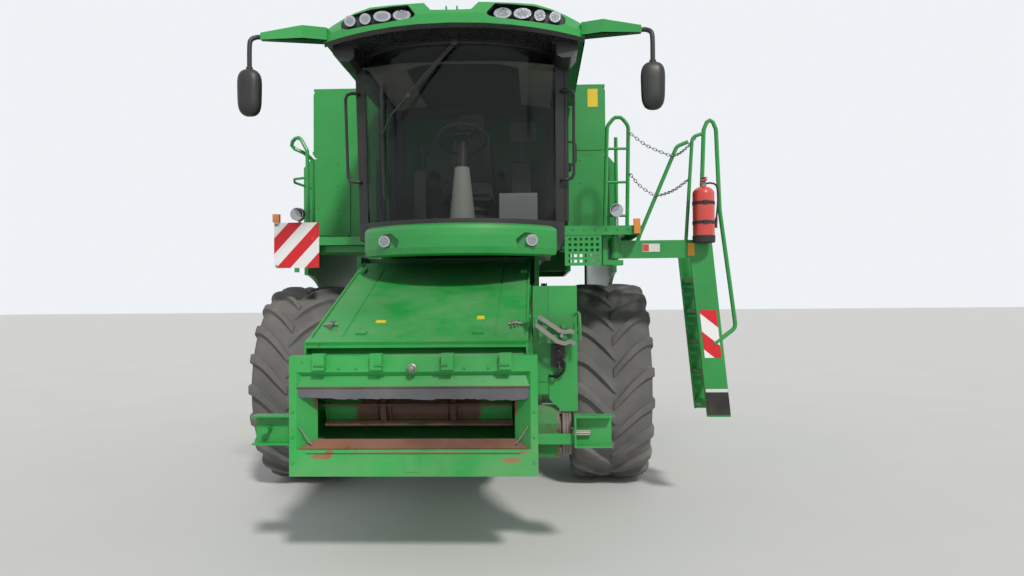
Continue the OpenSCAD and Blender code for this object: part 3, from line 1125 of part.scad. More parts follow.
// Ladder on its vertical pivot, in a frame at the pivot: the sleeve, the landing, two
// stringers with steps between them, and the handrails
stringer_w = 190;
step_t = 30;
stringer_top = rail_reach - 210 - stringer_w;
function stringer_x(z) = ladder_reach - stringer_w - (ladder_reach - stringer_w - stringer_top) * (z - ladder_foot) / (landing_top - ladder_foot);
module stringer(y, flange) {
  plate_y(y, y + 10) polygon([[stringer_top, landing_top], [stringer_top + stringer_w, landing_top], [ladder_reach, ladder_foot], [ladder_reach - stringer_w, ladder_foot]]);
  for (s = [0, stringer_w - 10]) plate_y(min(y, y + flange), max(y + 10, y + flange)) polygon([[stringer_top + s, landing_top], [stringer_top + s + 10, landing_top],
    [ladder_reach - stringer_w + s + 10, ladder_foot], [ladder_reach - stringer_w + s, ladder_foot]]);
}
module ladder() color(green) translate([ladder_x, ladder_y, 0]) {
  difference() {
    union() {
      bar_z(landing_z, landing_top + 25, 48, 0, 0);
      box([0, -30, landing_z], [stringer_top + 1, -18, landing_top]);
      box([0, -30, landing_z], [20, 60, landing_top]);
    }
    bar_z(landing_z - 1, landing_top + 26, ladder_pin_r + running, 0, 0);
  }
  // The landing's deck and its rear edge
  difference() {
    box([32, -30, landing_top - 12], [stringer_top + 1, ladder_w - 30, landing_top]);
    for (x = [150:95:stringer_top - 60], y = [60:110:ladder_w - 130]) box([x, y, landing_top - 13], [x + 60, y + 70, landing_top + 1]);
  }
  box([20, ladder_w - 42, landing_z + 60], [stringer_top + 1, ladder_w - 30, landing_top]);
  stringer(-30, 45);
  stringer(ladder_w - 40, -35);
  // Steps with raised edges
  for (i = [0:4]) let (z = ladder_foot + 70 + i * 265, x = stringer_x(z + step_t)) difference() {
    box([x + 12, -21, z], [x + stringer_w - 12, ladder_w - 39, z + step_t]);
    for (y = [30:80:ladder_w - 120]) box([x + 40, y, z - 1], [x + stringer_w - 40, y + 50, z + step_t + 1]);
  }
  // Handrails: a low hook on the landing, the tall hoop that runs down the ladder, and a
  // leaning rail at the landing's back
  pipe(rounded([[stringer_top - 27, -20, landing_z + 60], [stringer_top + 42, -20, 3120], [stringer_top + 137, -20, 3150]], 50, 3), rail_r - 3);
  pipe(rounded([[stringer_top + 95, -20, landing_top - 40], [stringer_top + 138, -20, 3180], [stringer_top + 190, -20, 3300], [stringer_top + 240, -20, 3180],
    [stringer_top + 262, -20, 2500], [rail_reach - 18, -20, 1520], [ladder_reach - 128, -23, 1386]], 60, 2), rail_r);
  pipe(rounded([[stringer_top - 390, ladder_w - 50, landing_z + 80], [stringer_top - 330, ladder_w - 50, 2360], [stringer_top + 10, ladder_w - 50, 3150], [stringer_top + 110, ladder_w - 50, 3190]], 60, 2), rail_r);
}
extinguisher_x = stringer_top + 103;
module fire_extinguisher() color(red) translate([ladder_x + extinguisher_x, ladder_y - 131, 0]) {
  translate([0, 0, landing_top - 30]) rotate_extrude() polygon(concat([[0, 0], [60, 0], [88, 22]], [for (a = [0:18:72]) [88 * cos(a), 400 + 60 * sin(a)]], [[24, 462], [24, 480], [0, 480]]));
  bar_z(landing_top + 440, landing_top + 490, 20, 0, 0);
  box([-20, -60, landing_top + 470], [20, 20, landing_top + 485]);
  // The clamp that ties it to the handrail
  box([-25, 80, landing_top + 120], [25, 111 - rail_r - seat, landing_top + 170]);
}

module unloading_auger() color(green) {
  bar_z(auger_z - auger_r - 25, auger_z, auger_r - 10, auger_x, auger_y);
  bar_z(auger_z - auger_r - 25, auger_z - auger_r + 10, auger_r + 5, auger_x, auger_y);
  translate([auger_x, auger_y, auger_z]) sphere(auger_r);
  bar_y(auger_y, auger_end, auger_r - 6, auger_x, auger_z);
  for (y = [auger_y + 260, auger_y + auger_l / 2, auger_end - 30]) bar_y(y, y + 30, auger_r + 4, auger_x, auger_z);
}
// The rubber boot that turns the grain down
module auger_spout() color(black) {
  translate([auger_x, auger_end + seat, auger_z - spout_bend]) rotate([0, 90, 0]) rotate([0, 0, 90]) rotate_extrude(angle = 90)
    translate([spout_bend, 0]) difference() { circle(auger_r); circle(auger_r - 14); }
  translate([auger_x, auger_end + seat + spout_bend, auger_z - spout_bend - 120]) difference() {
    cylinder(h = 135, r = auger_r + 6);
    translate([0, 0, -1]) cylinder(h = 137, r = auger_r - 8);
  }
}

// Tank covers, hinged along the tank's long edges
cover_t = 25;
module tank_cover(side) color(green) mirror([side > 0 ? 0 : 1, 0, 0]) {
  difference() {
    union() {
      box([5, tank_y + 5, tank_top + seat], [extension_half - 2, tank_back - 5, tank_top + 11]);
      for (y = [tank_y + 5, tank_back - 45]) box([5, y, tank_top + seat], [extension_half - 2, y + 40, tank_top + cover_t]);
      for (x = [5, extension_half - 40]) box([x, tank_y + 5, tank_top + seat], [x + 38, tank_back - 5, tank_top + cover_t]);
      for (y = [tank_y + 480:460:tank_back - 300]) box([5, y, tank_top + seat], [extension_half - 2, y + 60, tank_top + cover_t - 5]);
      for (y = cover_hinges) {
        bar_y(y - 62, y + 62, barrel_r, cover_hinge_x, cover_hinge_z);
        box([extension_half - 3, y - 62, tank_top + 1], [cover_hinge_x, y + 62, tank_top + cover_t - 5]);
      }
    }
    for (y = cover_hinges) bar_y(y - 63, y + 63, cover_pin_r + running, cover_hinge_x, cover_hinge_z);
  }
}

// Side shields, hinged along their top edges
module side_shield(side) color(green) mirror([side > 0 ? 0 : 1, 0, 0]) {
  difference() {
    union() {
      plate_x(shield_half - shield_t, shield_half) polygon([[tank_y + gap, shield_bottom], [2800, shield_bottom], [2980, 1800],
        [hood_back - 60, 1800], [hood_back - 60, shield_top - 150], [hood_back - 170, shield_top], [tank_y + gap, shield_top]]);
      for (y = shield_hinges) {
        bar_y(y - 62, y + 62, barrel_r, shield_hinge_x, shield_hinge_z);
        box([shield_hinge_x - 9, y - 62, shield_top - 1], [shield_hinge_x + 9, y + 62, shield_hinge_z]);
      }
    }
    for (y = shield_hinges) bar_y(y - 63, y + 63, cover_pin_r + running, shield_hinge_x, shield_hinge_z);
    bar_x(shield_half - shield_t - 1, shield_half + 1, front_tyre_r + 115, 0, front_tyre_r);
    // Hollow inside: a skin with a turned edge, and louvres towards its rear
    plate_x(shield_half - shield_t - 1, shield_half - 12) polygon(soft([[1180, shield_bottom + 40], [2780, shield_bottom + 40], [2960, 1840],
      [hood_back - 100, 1840], [hood_back - 100, shield_top - 170], [hood_back - 190, shield_top - 40], [tank_y + 60, shield_top - 40], [tank_y + 60, 2120], [900, 1900]], 20));
    for (z = [2300:70:2560]) plate_x(shield_half - 13, shield_half + 1) polygon([[3300, z], [4150, z], [4150, z + 26], [3300, z + 26]]);
  }
  // The moulded line along the shield and its handle
  plate_x(shield_half - 1, shield_half + 9) polygon([[tank_y + 60, 2180], [hood_back - 120, 2060], [hood_back - 120, 2085], [tank_y + 60, 2210]]);
}

module spreader(side) color(rust) translate([side * spreader_x, spreader_y, 0]) difference() {
  union() {
    bar_z(spreader_z, spreader_z + 12, spreader_r, 0, 0);
    bar_z(spreader_z, spreader_z + 150, 55, 0, 0);
    // Vanes that throw the straw
    for (a = [0:60:300]) rotate([0, 0, a]) box([60, -4, spreader_z + 11], [spreader_r - 10, 4, spreader_z + 70]);
  }
  bar_z(spreader_z + 20 - seat, spreader_z + 151, spreader_pin_r + running, 0, 0);
}

place() main_frame();
place() front_axle();
place() rear_axle();
place() threshing_body();
place() cleaning_shoe();
place() grain_tank();
place() engine_block();
place() engine_hood();
place() straw_hood();
place() front_panels();
place() cab_base();
place() cab_frame();
place() cab_glass();
place() cab_roof();
place() cab_apron();
place() operator_seat();
place() steering_column();
place() mirrors();
place() roof_lamps();
place() left_platform();
place() right_platform();
place() marker_lamps();
place() warning_board();
place() exhaust_pipe();
place() radiator_screen();
place() cab_door();
place() door_glass();
place() feeder_house();
place() feeder_face();
place() feeder_drum();
place() feeder_chain();
place() feeder_curtain();
place() feeder_drive();
place() feeder_wings();
place() header_coupler();
place() lift_barrel(1);  // lift_barrel_left
place() lift_barrel(-1);  // lift_barrel_right
place() lift_rod(1);  // lift_rod_left
place() lift_rod(-1);  // lift_rod_right
place() ladder();
place() fire_extinguisher();
place() unloading_auger();
place() auger_spout();
place() tank_cover(1);  // tank_cover_left
place() tank_cover(-1);  // tank_cover_right
place() side_shield(1);  // side_shield_left
place() side_shield(-1);  // side_shield_right
place() spreader(1);  // spreader_left
place() spreader(-1);  // spreader_right
place() front_rim(1);  // rim_front_left
place() front_rim(-1);  // rim_front_right
place() front_tyre(1);  // tyre_front_left
place() front_tyre(-1);  // tyre_front_right
place() knuckle(1);  // knuckle_left
place() knuckle(-1);  // knuckle_right
place() tie_rod();
place() rear_rim(1);  // rim_rear_left
place() rear_rim(-1);  // rim_rear_right
place() rear_tyre(1);  // tyre_rear_left
place() rear_tyre(-1);  // tyre_rear_right
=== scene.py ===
# %% [markdown]
# # A combine harvester in Blender
# This lesson dresses a imported CAD model of a full-size combine harvester that stands without
# its header. The CAD solids already have the true sizes and the joints. Blender adds what a
# solid model leaves out: tyres with real lugs, a soft seat, chains, bolts, lenses, rubber
# blades, stripes, and above all the finishes. We load the solids first.

# %% Load the solids
import bpy, bmesh, math, random
from mathutils import Matrix, Vector


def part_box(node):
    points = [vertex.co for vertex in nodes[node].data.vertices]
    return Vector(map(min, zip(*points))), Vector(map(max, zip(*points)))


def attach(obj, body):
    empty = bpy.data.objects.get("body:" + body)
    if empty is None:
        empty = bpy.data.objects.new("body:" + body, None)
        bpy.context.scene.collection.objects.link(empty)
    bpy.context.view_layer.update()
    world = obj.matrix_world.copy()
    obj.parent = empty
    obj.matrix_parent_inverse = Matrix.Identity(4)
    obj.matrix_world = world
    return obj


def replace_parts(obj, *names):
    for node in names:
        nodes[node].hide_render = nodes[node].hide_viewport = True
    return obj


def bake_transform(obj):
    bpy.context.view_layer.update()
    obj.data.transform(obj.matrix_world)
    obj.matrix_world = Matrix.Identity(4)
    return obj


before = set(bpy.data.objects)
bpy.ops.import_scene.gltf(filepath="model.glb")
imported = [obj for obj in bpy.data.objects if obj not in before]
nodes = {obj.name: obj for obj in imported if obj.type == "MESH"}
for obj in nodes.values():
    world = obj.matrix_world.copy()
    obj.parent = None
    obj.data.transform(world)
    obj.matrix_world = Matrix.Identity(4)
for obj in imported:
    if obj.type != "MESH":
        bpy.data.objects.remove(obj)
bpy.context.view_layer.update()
scene = bpy.context.scene

# %% [markdown]
# The solids' own drawing counts in millimetres from the ground under the front axle. Blender
# counts in metres from the middle of the ground that the machine covers. One small function
# turns the first into the second, so that every number below is one that a mechanic could
# measure on the machine. Forward is -Y, up is +Z and the machine's left side is +X.

# %% From millimetres at the front axle to metres in the scene
SIDES = ((1, "left"), (-1, "right"))
# The middle of the cab across the machine, its floor and the underside of its roof
CAB_X, FLOOR_Z, ROOF_Z = 180, 2300, 3720
# The middle of the ground that the machine covers
MIDDLE_X, MIDDLE_Y = 315, 1885

def at(x, y, z):
    return Vector(((x - MIDDLE_X) / 1000, (y - MIDDLE_Y) / 1000, z / 1000))

def y_of(place):
    # Back from metres in the scene to the drawing's millimetres
    return place.y * 1000 + MIDDLE_Y

def cab(x, y, z):
    # Places in the cab, from its middle and its floor
    return at(CAB_X + x, y, FLOOR_Z + z)

def quad(left, right, low, high, taper=0, where=at):
    # Corners of a plate across the machine; low and high are the (y, z) of its two edges
    return [where(left, *low), where(right, *low), where(right - taper, *high), where(left + taper, *high)]

def turns(count):
    # The angles of one full turn in equal steps
    return [2 * math.pi * i / count for i in range(count)]

def show(name, data):
    thing = bpy.data.objects.new(name, data)
    scene.collection.objects.link(thing)
    return thing

print("front axle", tuple(at(0, 0, 0)))

# %% [markdown]
# ## Node helpers
# Every finish below is a small network of nodes. `fill` writes a value into a node's input,
# or links it when the value is another node's output, so a whole network reads as nested
# calls. The other helpers are the few steps that all the finishes share.

# %% Helpers for node trees
def fill(tree, node, values):
    for key, value in values.items():
        if isinstance(value, bpy.types.NodeSocket):
            tree.links.new(value, node.inputs[key])
        else:
            node.inputs[key].default_value = value
    return node

def put(tree, kind, values=None, **settings):
    node = tree.nodes.new(kind)
    for key, value in settings.items():
        setattr(node, key, value)
    return fill(tree, node, values or {})

def mixed(tree, factor, first, second):
    return put(tree, "ShaderNodeMix", {0: factor, 6: first, 7: second}, data_type="RGBA").outputs[2]

def ramp(tree, value, low, high, bottom=0.0, top=1.0):
    ends = {"Value": value, "From Min": low, "From Max": high, "To Min": bottom, "To Max": top}
    return put(tree, "ShaderNodeMapRange", ends, clamp=True).outputs["Result"]

def calc(tree, a, b, how="MULTIPLY"):
    return put(tree, "ShaderNodeMath", {0: a, 1: b}, operation=how).outputs[0]

def noise(tree, place, scale, detail=4.0, rough=0.55):
    values = {"Vector": place, "Scale": scale, "Detail": detail, "Roughness": rough}
    return put(tree, "ShaderNodeTexNoise", values).outputs["Fac"]

def split(tree, vector):
    return put(tree, "ShaderNodeSeparateXYZ", {0: vector}).outputs

def bumped(tree, height, strength, distance):
    values = {"Height": height, "Strength": strength, "Distance": distance}
    return put(tree, "ShaderNodeBump", values).outputs["Normal"]

def inside(tree, place, low_corner, high_corner):
    # 1 within a box of object coordinates, 0 outside it; None leaves that side open
    parts, share = split(tree, place), 1.0
    for axis, *ends in zip("XYZ", low_corner, high_corner):
        for end, how in zip(ends, ("GREATER_THAN", "LESS_THAN")):
            if end is not None:
                share = calc(tree, share, calc(tree, parts[axis], end, how))
    return share

finish = {}

def start(name):
    # A new finish: its tree, its shader and the place on the piece
    finish[name] = bpy.data.materials.new(name)
    finish[name].use_nodes = True
    tree = finish[name].node_tree
    return tree, tree.nodes["Principled BSDF"], put(tree, "ShaderNodeTexCoord").outputs["Object"]

def shade(colour, k=1.0):
    return tuple(min(1.0, c * k) for c in colour[:3]) + (1.0,)

print("helpers ready")

# %% [markdown]
# ## The camera
# The photograph was taken from eye height, close to the machine and a little to one side. A
# close camera makes the feeder house look large and the body behind it small, so the distance
# matters more than the framing. The lens, the tilt and the small roll were worked out from the
# tyres, the cab posts and the feeder's edges, and the camera is built from those turns.

# %% Camera
camera = show("photo_view", bpy.data.cameras.new("photo_view"))
camera.data.sensor_width = 36
camera.data.lens = 26.32
camera.data.clip_end = 400
camera.matrix_world = Matrix.Translation(at(791, -7618, 1738))
for degrees, axis in ((1.92, "Z"), (90 + 1.16, "X"), (-0.45, "Z")):
    camera.matrix_world = camera.matrix_world @ Matrix.Rotation(math.radians(degrees), 4, axis)
scene.camera = camera
scene.view_settings.view_transform = "Standard"
print("camera", [round(c, 3) for c in camera.matrix_world.translation])

# %% [markdown]
# ## Light
# A machine this size is hard to light with a few small lamps, so most of the light comes from
# an even pale sky, with one wide sun from the front and the machine's left that shapes the
# panels. The strengths add up to about one, at which a paint renders as its colour is
# written. The sky that the camera, metal and glass see is set apart with a Light Path node.

# %% Sky and sun
world = bpy.data.worlds.new("pale_sky")
scene.world = world
world.use_nodes = True
tree = world.node_tree
tree.nodes.clear()
rays = put(tree, "ShaderNodeLightPath").outputs
seen = calc(tree, rays["Is Camera Ray"], rays["Is Glossy Ray"], "MAXIMUM")
seen = calc(tree, seen, rays["Is Transmission Ray"], "MAXIMUM")
lit_sky = put(tree, "ShaderNodeBackground", {"Color": (0.94, 0.97, 1.0, 1), "Strength": 0.46})
seen_sky = put(tree, "ShaderNodeBackground", {"Color": (0.86, 0.89, 0.92, 1), "Strength": 1.0})
blend = put(tree, "ShaderNodeMixShader", {0: seen, 1: lit_sky.outputs[0], 2: seen_sky.outputs[0]})
put(tree, "ShaderNodeOutputWorld", {"Surface": blend.outputs[0]})

sun = show("wide_sun", bpy.data.lights.new("wide_sun", "SUN"))
sun.data.energy = 2.2
sun.data.angle = math.radians(6)
sun.data.color = (1.0, 0.97, 0.92)
sun.rotation_euler = Vector((-0.34, 0.92, -0.82)).to_track_quat("-Z", "Y").to_euler()
print("light ready")

# %% [markdown]
# ## Finishes
# Nearly every surface here is paint, rubber or plastic that has worked outdoors for years. A
# flat colour would look like a toy, so each finish is made from the same few causes: the
# colour fades in broad patches, dust settles where a surface faces up and low down near the
# wheels, and rust or bare metal shows through in small chips. Noise in object coordinates
# drives all of them, so a finish stays put when its piece moves and needs no image. The dust
# also raises the roughness, because dust dulls a gloss wherever it lies.

# %% Weathered paint, plastic and rubber
DUST = (0.30, 0.25, 0.20, 1)
RUST = (0.16, 0.055, 0.022, 1)
RUSTY_STAIN = (0.30, 0.115, 0.045, 1)

def weathered(name, colour, rough=0.32, dust=0.45, chips=0.0, metal=0.0, coat=0.0, fade=0.16, low=1.3, grain=0.0,
              underside_and_shade=None, soil=DUST, band=None, zones=(), stains=(), facets=0.0):
    tree, shader, place = start(name)
    where, around = split(tree, place), put(tree, "ShaderNodeNewGeometry").outputs
    facing, height = split(tree, around["Normal"])["Z"], split(tree, around["Position"])["Z"]
    broad = ramp(tree, noise(tree, place, 0.9), 0.35, 0.68)
    base = mixed(tree, broad, shade(colour, 1 - fade), shade(colour, 1 + fade))
    if underside_and_shade:
        # Faces that point down turn near black: on the roof partly its dark underside, partly painted shade under the
        # rim
        base = mixed(tree, ramp(tree, facing, -0.12, -0.24), base, shade(underside_and_shade))
    if band:
        # A second colour within a distance of a plane across the machine, with a ragged edge
        middle, reach, other = band
        away = calc(tree, calc(tree, where["X"], -middle, "ADD"), 0.0, "ABSOLUTE")
        ragged = calc(tree, away, calc(tree, noise(tree, place, 6.0, 8.0), 0.16), "ADD")
        base = mixed(tree, ramp(tree, ragged, reach + 0.10, reach + 0.07), base, shade(other))
    for low_corner, high_corner, other in zones:
        # Inside this box the paint has another colour
        base = mixed(tree, inside(tree, place, low_corner, high_corner), base, shade(other))
    if chips:
        spots = ramp(tree, noise(tree, place, 11.0, 9.0, 0.72), 0.67 - chips * 0.12, 0.70 - chips * 0.12)
        base = mixed(tree, spots, base, RUST)
    for spot_x, spot_z, wide, tall in stains:
        # A rusty patch with a ragged outline
        across = calc(tree, calc(tree, where["X"], -spot_x, "ADD"), 1 / wide)
        along = calc(tree, calc(tree, where["Z"], -spot_z, "ADD"), 1 / tall)
        size = calc(tree, calc(tree, across, across), calc(tree, along, along), "ADD")
        ragged = calc(tree, size, calc(tree, noise(tree, place, 16.0, 8.0, 0.7), 2.6), "ADD")
        base = mixed(tree, ramp(tree, ragged, 2.15, 1.85), base, RUSTY_STAIN)
    settled = calc(tree, ramp(tree, facing, 0.1, 0.95, 0.12, 0.75), ramp(tree, height, low, 0.1, 0.0, 0.65), "MAXIMUM")
    patches = ramp(tree, noise(tree, place, 3.2, 8.0, 0.65), 0.36, 0.70)
    lying = calc(tree, calc(tree, settled, patches), dust)
    dull = ramp(tree, lying, 0.0, 0.5, rough, min(1.0, rough + 0.4))
    mottle = ramp(tree, noise(tree, place, 26.0), 0.2, 0.8, -0.05, 0.07)
    if facets:
        # Small cells, as in a pressed lamp bowl
        cells = put(tree, "ShaderNodeTexVoronoi", {"Vector": place, "Scale": facets})
        normal = bumped(tree, cells.outputs["Distance"], 1.0, 0.0018)
    elif grain:
        normal = bumped(tree, noise(tree, place, 420.0, 3.0), 0.35, grain)
    else:
        normal = bumped(tree, noise(tree, place, 60.0, 3.0), 0.12, 0.0008)
    fill(tree, shader, {"Base Color": mixed(tree, lying, base, soil), "Roughness": calc(tree, dull, mottle, "ADD"),
                        "Metallic": metal, "Coat Weight": coat, "Normal": normal})

GREEN = (0.022, 0.300, 0.058)
weathered("machine green", GREEN, 0.32, 0.26, 0.08, coat=0.10)
weathered("worked green", shade(GREEN, 1.10), 0.34, 0.50, 0.28, low=1.6, soil=(0.24, 0.30, 0.20, 1))
# Each stain has its x and z on the feeder's face, its width and its height, in metres
weathered("face green", shade(GREEN, 1.18), 0.42, 1.35, 0.30, low=1.35, soil=(0.24, 0.37, 0.21, 1), stains=(
    (-0.90, 0.775, 0.085, 0.022), (-0.84, 0.800, 0.035, 0.022), (0.305, 0.752, 0.080, 0.018), (0.37, 0.800, 0.05, 0.012),
    (-0.30, 0.806, 0.50, 0.0035), (-0.965, 1.10, 0.010, 0.060), (0.335, 1.08, 0.012, 0.070)))
weathered("chassis green", shade(GREEN, 0.80), 0.45, 0.85, 0.45, low=2.2)
# The roof's faces that point down are near black: partly its dark underside, partly painted shade under the rim
weathered("roof green", shade(GREEN, 1.05), 0.26, 0.18, coat=0.25, underside_and_shade=(0.012, 0.013, 0.014))
weathered("rim yellow", (0.78, 0.50, 0.03), 0.38, 0.85, 0.35)
weathered("fitting black", (0.014, 0.015, 0.016), 0.42, 0.25, grain=0.0004)
weathered("rubber", (0.022, 0.021, 0.020), 0.78, 0.75, fade=0.25, grain=0.0006)
weathered("tyre rubber", (0.118, 0.116, 0.117), 0.82, 0.9, fade=0.20, low=2.6, grain=0.0012, soil=(0.27, 0.25, 0.225, 1))
weathered("machine grey", (0.17, 0.18, 0.18), 0.50, 0.75, 0.35)
# The steering column's pale cover and the grey cool box are parts of one dark solid
COVER = ((-0.27, None, None), (0.0, None, 2.862), (0.46, 0.50, 0.44))
COOL_BOX = ((0.155, None, None), (0.50, None, 2.678), (0.36, 0.38, 0.40))
weathered("cab grey", (0.030, 0.032, 0.033), 0.50, 0.25, grain=0.0003, zones=(COVER, COOL_BOX))
weathered("extinguisher red", (0.66, 0.058, 0.042), 0.27, 0.14, coat=0.5)
weathered("worn steel", (0.30, 0.29, 0.27), 0.42, 0.55, 0.35, metal=0.80)
weathered("polished rod", (0.62, 0.62, 0.63), 0.14, 0.12, metal=1.0)
weathered("hot steel", (0.20, 0.17, 0.15), 0.48, 0.4, 0.5, metal=0.8)
weathered("rusty steel", (0.115, 0.062, 0.040), 0.80, 0.45, 0.9, fade=0.5)
weathered("drum finish", shade(GREEN, 0.8), 0.6, 0.3, 0.6, band=(-0.315, 0.40, (0.095, 0.043, 0.028)))
DRIVE_DISC = ((0.600, None, None), (None, None, None), (0.175, 0.140, 0.118))
weathered("drive finish", shade(GREEN, 0.75), 0.55, 0.8, 0.75, low=2.0, zones=(DRIVE_DISC,))
weathered("floor rust", (0.215, 0.088, 0.055), 0.78, 0.35, 0.5, fade=0.45)
weathered("curtain rubber", (0.105, 0.108, 0.122), 0.70, 0.5, fade=0.3, grain=0.0006)
weathered("label yellow", (0.85, 0.60, 0.02), 0.40, 0.3)
weathered("label white", (0.78, 0.78, 0.75), 0.40, 0.3)
weathered("label orange", (0.80, 0.36, 0.03), 0.40, 0.3)
weathered("headliner", (0.30, 0.28, 0.235), 0.9, 0.0, grain=0.0006)
weathered("reflector", (0.46, 0.47, 0.49), 0.20, 0.05, metal=1.0, facets=60.0)
print("painted finishes", len(finish))

# %% [markdown]
# Glass and lenses come next. Cab glass is tinted, so a dark colour with a low alpha lets the
# seat and the column show through and keeps the sky's reflection on top. Lamp lenses are
# clear but cover bright reflectors, and amber lenses get their colour through and through.

# %% Glass, lenses and stripes
def clear(name, colour, alpha, rough=0.03, waves=0.0, shine=0.8, metal=0.0):
    tree, shader, place = start(name)
    tint = mixed(tree, ramp(tree, noise(tree, place, 2.0), 0.3, 0.7), shade(colour, 0.85), shade(colour, 1.15))
    smears = ramp(tree, noise(tree, place, 5.0, 6.0), 0.4, 0.75, rough, rough + 0.10)
    fill(tree, shader, {"Base Color": tint, "Roughness": smears, "Alpha": alpha, "IOR": 1.5,
                        "Specular IOR Level": shine, "Metallic": metal})
    if waves:
        ribs = put(tree, "ShaderNodeTexWave", {"Vector": place, "Scale": 45.0, "Distortion": 0.0})
        fill(tree, shader, {"Normal": bumped(tree, ribs.outputs["Fac"], 0.5, waves)})

def striped(name, width, lean, shift=0.0):
    # Red and white bands that climb to one side, with the paint's own wear
    tree, shader, place = start(name)
    where = split(tree, place)
    climb = calc(tree, where["Z"], calc(tree, where["X"], lean), "ADD")
    bands = calc(tree, calc(tree, climb, 20 * width + shift, "ADD"), width, "PINGPONG")
    red = ramp(tree, bands, width * 0.495, width * 0.505)
    base = mixed(tree, red, (0.86, 0.85, 0.86, 1), (0.66, 0.012, 0.020, 1))
    worn = ramp(tree, noise(tree, place, 14.0, 8.0, 0.7), 0.64, 0.72, 0.0, 0.35)
    fill(tree, shader, {"Base Color": mixed(tree, worn, base, DUST), "Roughness": ramp(tree, worn, 0.0, 0.5, 0.35, 0.7)})

clear("cab glass", (0.012, 0.017, 0.016), 0.26, shine=0.42)
clear("lamp glass", (0.10, 0.11, 0.12), 0.20, waves=0.002, shine=0.6)
clear("amber lens", (0.75, 0.24, 0.02), 0.92, 0.12, waves=0.002)
clear("mirror face", (0.55, 0.57, 0.60), 1.0, 0.02, metal=1.0)
striped("board stripes", 0.147, -1.085, 0.1425)
striped("ladder stripes", 0.138, 0.80, 0.0016)
print("all finishes", len(finish))

# %% [markdown]
# Woven seat cloth reads as cloth because of its tiny regular threads and its soft sheen at
# grazing angles. Two crossed waves give the threads, and the shader's sheen does the rest.

# %% Seat cloth
tree, shader, place = start("seat cloth")
THREADS = {"Vector": place, "Scale": 95.0, "Distortion": 1.2, "Detail": 2.0}
one, other = [put(tree, "ShaderNodeTexWave", THREADS, bands_direction=axis).outputs["Fac"] for axis in "XZ"]
weave = calc(tree, one, other, "MAXIMUM")
CLOTH = (0.085, 0.085, 0.080)
fill(tree, shader, {"Base Color": mixed(tree, weave, shade(CLOTH, 0.55), shade(CLOTH, 1.25)), "Roughness": 0.92,
                    "Sheen Weight": 0.35, "Normal": bumped(tree, weave, 0.6, 0.0012)})
print("cloth ready")

# %% [markdown]
# ## Ground
# The floor is plain and pale. It only has to carry the shadow that sets the machine down, so
# one large plane with a faint mottle is enough.

# %% Floor
floor_mesh = bpy.data.meshes.new("studio_floor")
floor_mesh.from_pydata([(-120, -40, 0), (120, -40, 0), (120, 160, 0), (-120, 160, 0)], [], [(0, 1, 2, 3)])
floor = show("studio_floor", floor_mesh)
tree, shader, place = start("pale floor")
mottled = mixed(tree, noise(tree, place, 0.6), (0.66, 0.66, 0.65, 1), (0.72, 0.72, 0.71, 1))
fill(tree, shader, {"Base Color": mottled, "Roughness": 0.9})
floor_mesh.materials.append(finish["pale floor"])
print("floor ready")

# %% [markdown]
# ## Painting the solids
# Each CAD solid keeps its shape and only gets a finish. A table from finish to solids is
# easier to read and to change than one line per solid.

# %% Finish of each solid
PAINTED = {
    "machine green": "grain_tank engine_hood straw_hood front_panels cab_apron left_platform right_platform ladder "
                     "unloading_auger tank_cover_left tank_cover_right side_shield_left side_shield_right",
    "roof green": "cab_roof",
    "worked green": "feeder_house feeder_wings",
    "face green": "feeder_face",
    "chassis green": "header_coupler main_frame front_axle rear_axle threshing_body cleaning_shoe lift_barrel_left "
                     "lift_barrel_right knuckle_left knuckle_right",
    "fitting black": "cab_base cab_frame mirrors cab_door radiator_screen",
    "cab grey": "steering_column operator_seat",
    "cab glass": "cab_glass door_glass",
    "rubber": "feeder_curtain auger_spout",
    "tyre rubber": "tyre_front_left tyre_front_right tyre_rear_left tyre_rear_right",
    "rim yellow": "rim_front_left rim_front_right rim_rear_left rim_rear_right",
    "rusty steel": "feeder_chain spreader_left spreader_right",
    "drum finish": "feeder_drum",
    "machine grey": "engine_block tie_rod",
    "drive finish": "feeder_drive",
    "hot steel": "exhaust_pipe",
    "polished rod": "lift_rod_left lift_rod_right",
    "extinguisher red": "fire_extinguisher",
    "amber lens": "marker_lamps",
    "board stripes": "warning_board",
    "reflector": "roof_lamps",
}
done = set()
for name, solids in PAINTED.items():
    for solid in solids.split():
        for slot in nodes[solid].material_slots:
            slot.material = finish[name]
        if not nodes[solid].material_slots:
            nodes[solid].data.materials.append(finish[name])
        done.add(solid)
print("painted", len(done), "left", sorted(set(nodes) - done))

# %% [markdown]
# ## Tools for the pieces
# Every piece below is mesh code, so a few small tools pay off: one sweeps a round section
# along a path, one turns a profile about an axis, and one makes a plate with soft corners. A
# `Stock` gathers such shapes and makes one object of them, with its finish. `touch` sends a
# straight line at a solid and returns where it lands, which is how a label or a bolt finds
# the sheet it sits on.

